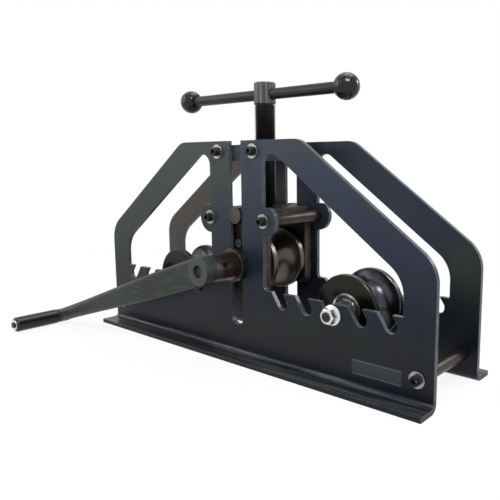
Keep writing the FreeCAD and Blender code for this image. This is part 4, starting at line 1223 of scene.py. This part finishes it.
@dataclass
class ScrewAndTee:
    """Lead screw with a real thread, its head, and the sliding tee bar with ball knobs."""

    diameter: float = 24.0 * MM
    pitch: float = 3.0 * MM
    thread_bottom: float = 171.8 * MM
    thread_top: float = 290.7 * MM
    thread_steps: int = 40

    def build(self) -> None:
        """Make the thread and dress the head, bar and knobs."""
        self.screw()
        dress(TurnedSteel("foot_collar_steel", (0.14, 0.12, 0.10), (0.2, 0.15, 0.11), axis=Axis.Z),
              "screw_foot_collar", "foot_collar_pin")
        # screw head: its bright vertical streaks in the lighter colour are painted reflection streaks of the
        # turned head
        dress(SatinPaint("head_steel", (0.060, 0.065, 0.066), (0.26, 0.27, 0.28), (0.020, 0.022, 0.023),
                         0.32, (330.0, 330.0, 6.0), 0.85), "screw_head")
        dress(SatinPaint("tee_bar_steel", (0.014, 0.016, 0.016), (0.055, 0.058, 0.058),
                         (0.006, 0.007, 0.007), 0.34, (22.0, 420.0, 420.0)), "tee_bar")
        dress(GlossPlastic("knob_plastic", ridges=16.0), *(f"{hand}_ball_knob" for hand, _ in HANDS))

    def screw(self) -> None:
        """Screw with thread, neck and spigot, in place of its plain node."""
        finish = ScrewThread("screw_thread")
        maker = ThreadMaker(self.diameter, self.pitch, self.thread_top - self.thread_bottom, finish,
                            self.thread_steps)
        meshes = [maker.mesh("lead_thread", Matrix.Translation((0.0, 0.0, self.thread_bottom))),
                  end_of("lead_screw", self.thread_bottom, -1.0), end_of("lead_screw", self.thread_top, 1.0)]
        add_piece("threaded_lead_screw", meshes, finish, Body.SCREW, "screw_steel", "lead_screw")


# ---- studio ----

@dataclass
class Studio:
    """Pale floor, soft lights, white surroundings and the camera."""

    place: Triple = (0.4693, -0.4943, 0.2247)
    look: Triple = (-0.6316, 0.7624, -0.1409)
    roll: float = math.radians(-0.15)
    lens: float = 41.0
    sensor: float = 36.0
    shift: tuple[float, float] = (-0.1096, -0.0155)
    nearest: float = 0.02
    floor_span: float = 6.0
    floor_colour: Colour = (0.82, 0.82, 0.82)
    shadow_reach: Ramp = (0.3, 1.2, 0.88, 1.0)
    ambient: float = 0.45
    aim: Triple = (0.0, 0.0, 0.12)
    lamps: tuple[tuple[str, Triple, float, float], ...] = (
        ("key", (0.75, -0.75, 1.35), 0.5, 17.0), ("fill", (-1.1, -0.9, 0.8), 1.0, 7.0),
        ("top", (0.0, 0.35, 1.5), 1.0, 10.0), ("back", (0.8, 1.1, 0.85), 0.35, 7.0))

    def build(self) -> None:
        """Set up everything round the object."""
        self.camera()
        self.floor()
        self.world()
        for lamp in self.lamps:
            self.lamp(*lamp)
        bpy.context.scene.view_settings.view_transform = "Standard"

    def camera(self) -> None:
        """Camera with its lens and shift."""
        data = bpy.data.cameras.new("camera")
        data.lens = self.lens
        data.sensor_width = self.sensor
        data.shift_x, data.shift_y = self.shift
        data.clip_start = self.nearest
        camera = link("camera", data)
        turn = Vector(self.look).to_track_quat("-Z", "Y").to_matrix().to_4x4()
        camera.matrix_world = Matrix.Translation(self.place) @ turn @ Matrix.Rotation(self.roll, 4, "Z")
        bpy.context.scene.camera = camera

    def floor(self) -> None:
        """Plain pale floor that looks white and keeps a soft shadow."""
        half = self.floor_span / 2
        mesh = bpy.data.meshes.new("floor")
        mesh.from_pydata([(-half, -half, 0), (half, -half, 0), (half, half, 0), (-half, half, 0)], [],
                         [(0, 1, 2, 3)])
        shader = Shader("floor")
        cloth = shader.value("ShaderNodeBsdfDiffuse", None, {"Color": (*self.floor_colour, 1.0)})
        glow = shader.value("ShaderNodeEmission", None, {"Color": (1.0, 1.0, 1.0, 1.0), "Strength": 1.0})
        x, y, _ = shader.split(shader.position)
        white = self.seen(shader) * shader.ramp(shader.distance(x, y), *self.shadow_reach)
        mixed = shader.value("ShaderNodeMixShader", None, {0: white, 1: cloth, 2: glow})
        shader.node("ShaderNodeOutputMaterial", None, {"Surface": mixed})
        mesh.materials.append(shader.material)
        link("floor", mesh)

    @staticmethod
    def seen(shader: Tree) -> Socket:
        """1 for rays from the camera or by way of a mirror or glass, and 0 for light."""
        path = shader.node("ShaderNodeLightPath")
        camera, mirror, glass = (Socket(shader, path.outputs[f"Is {ray} Ray"])
                                 for ray in ("Camera", "Glossy", "Transmission"))
        return (camera + mirror + glass).maths("MINIMUM", 1.0)

    def world(self) -> None:
        """White surroundings for what sees or mirrors them, and a plain level of light."""
        world = bpy.data.worlds.new("world")
        world.use_nodes = True
        bpy.context.scene.world = world
        shader = Tree(world.node_tree)
        strength = self.ambient + (1.0 - self.ambient) * self.seen(shader)
        back = shader.value("ShaderNodeBackground", None,
                            {"Color": (1.0, 1.0, 1.0, 1.0), "Strength": strength})
        shader.node("ShaderNodeOutputWorld", None, {"Surface": back})

    def lamp(self, name: str, place: Triple, size: float, power: float) -> None:
        """Square soft light that faces the object.

        Args:
            name: the lamp's name.
            place: where it hangs.
            size: length of its side.
            power: its power in watts.
        """
        data = bpy.data.lights.new(name, "AREA")
        data.shape = "SQUARE"
        data.size = size
        data.energy = power
        lamp = link(name, data)
        lamp.location = place
        lamp.rotation_euler = (Vector(self.aim) - Vector(place)).to_track_quat("-Z", "Y").to_euler()


def main() -> None:
    """Build the sub-assemblies in order, logging each, then the studio."""
    logging.basicConfig(level=logging.INFO, format="%(message)s")
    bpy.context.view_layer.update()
    for part in (SideFrame(), OuterRollers(), Carriage(), Crank(), ScrewAndTee()):
        part.build()
        log.info("%s is done", type(part).__name__)
    Studio().build()


if __name__ == "__main__":
    main()
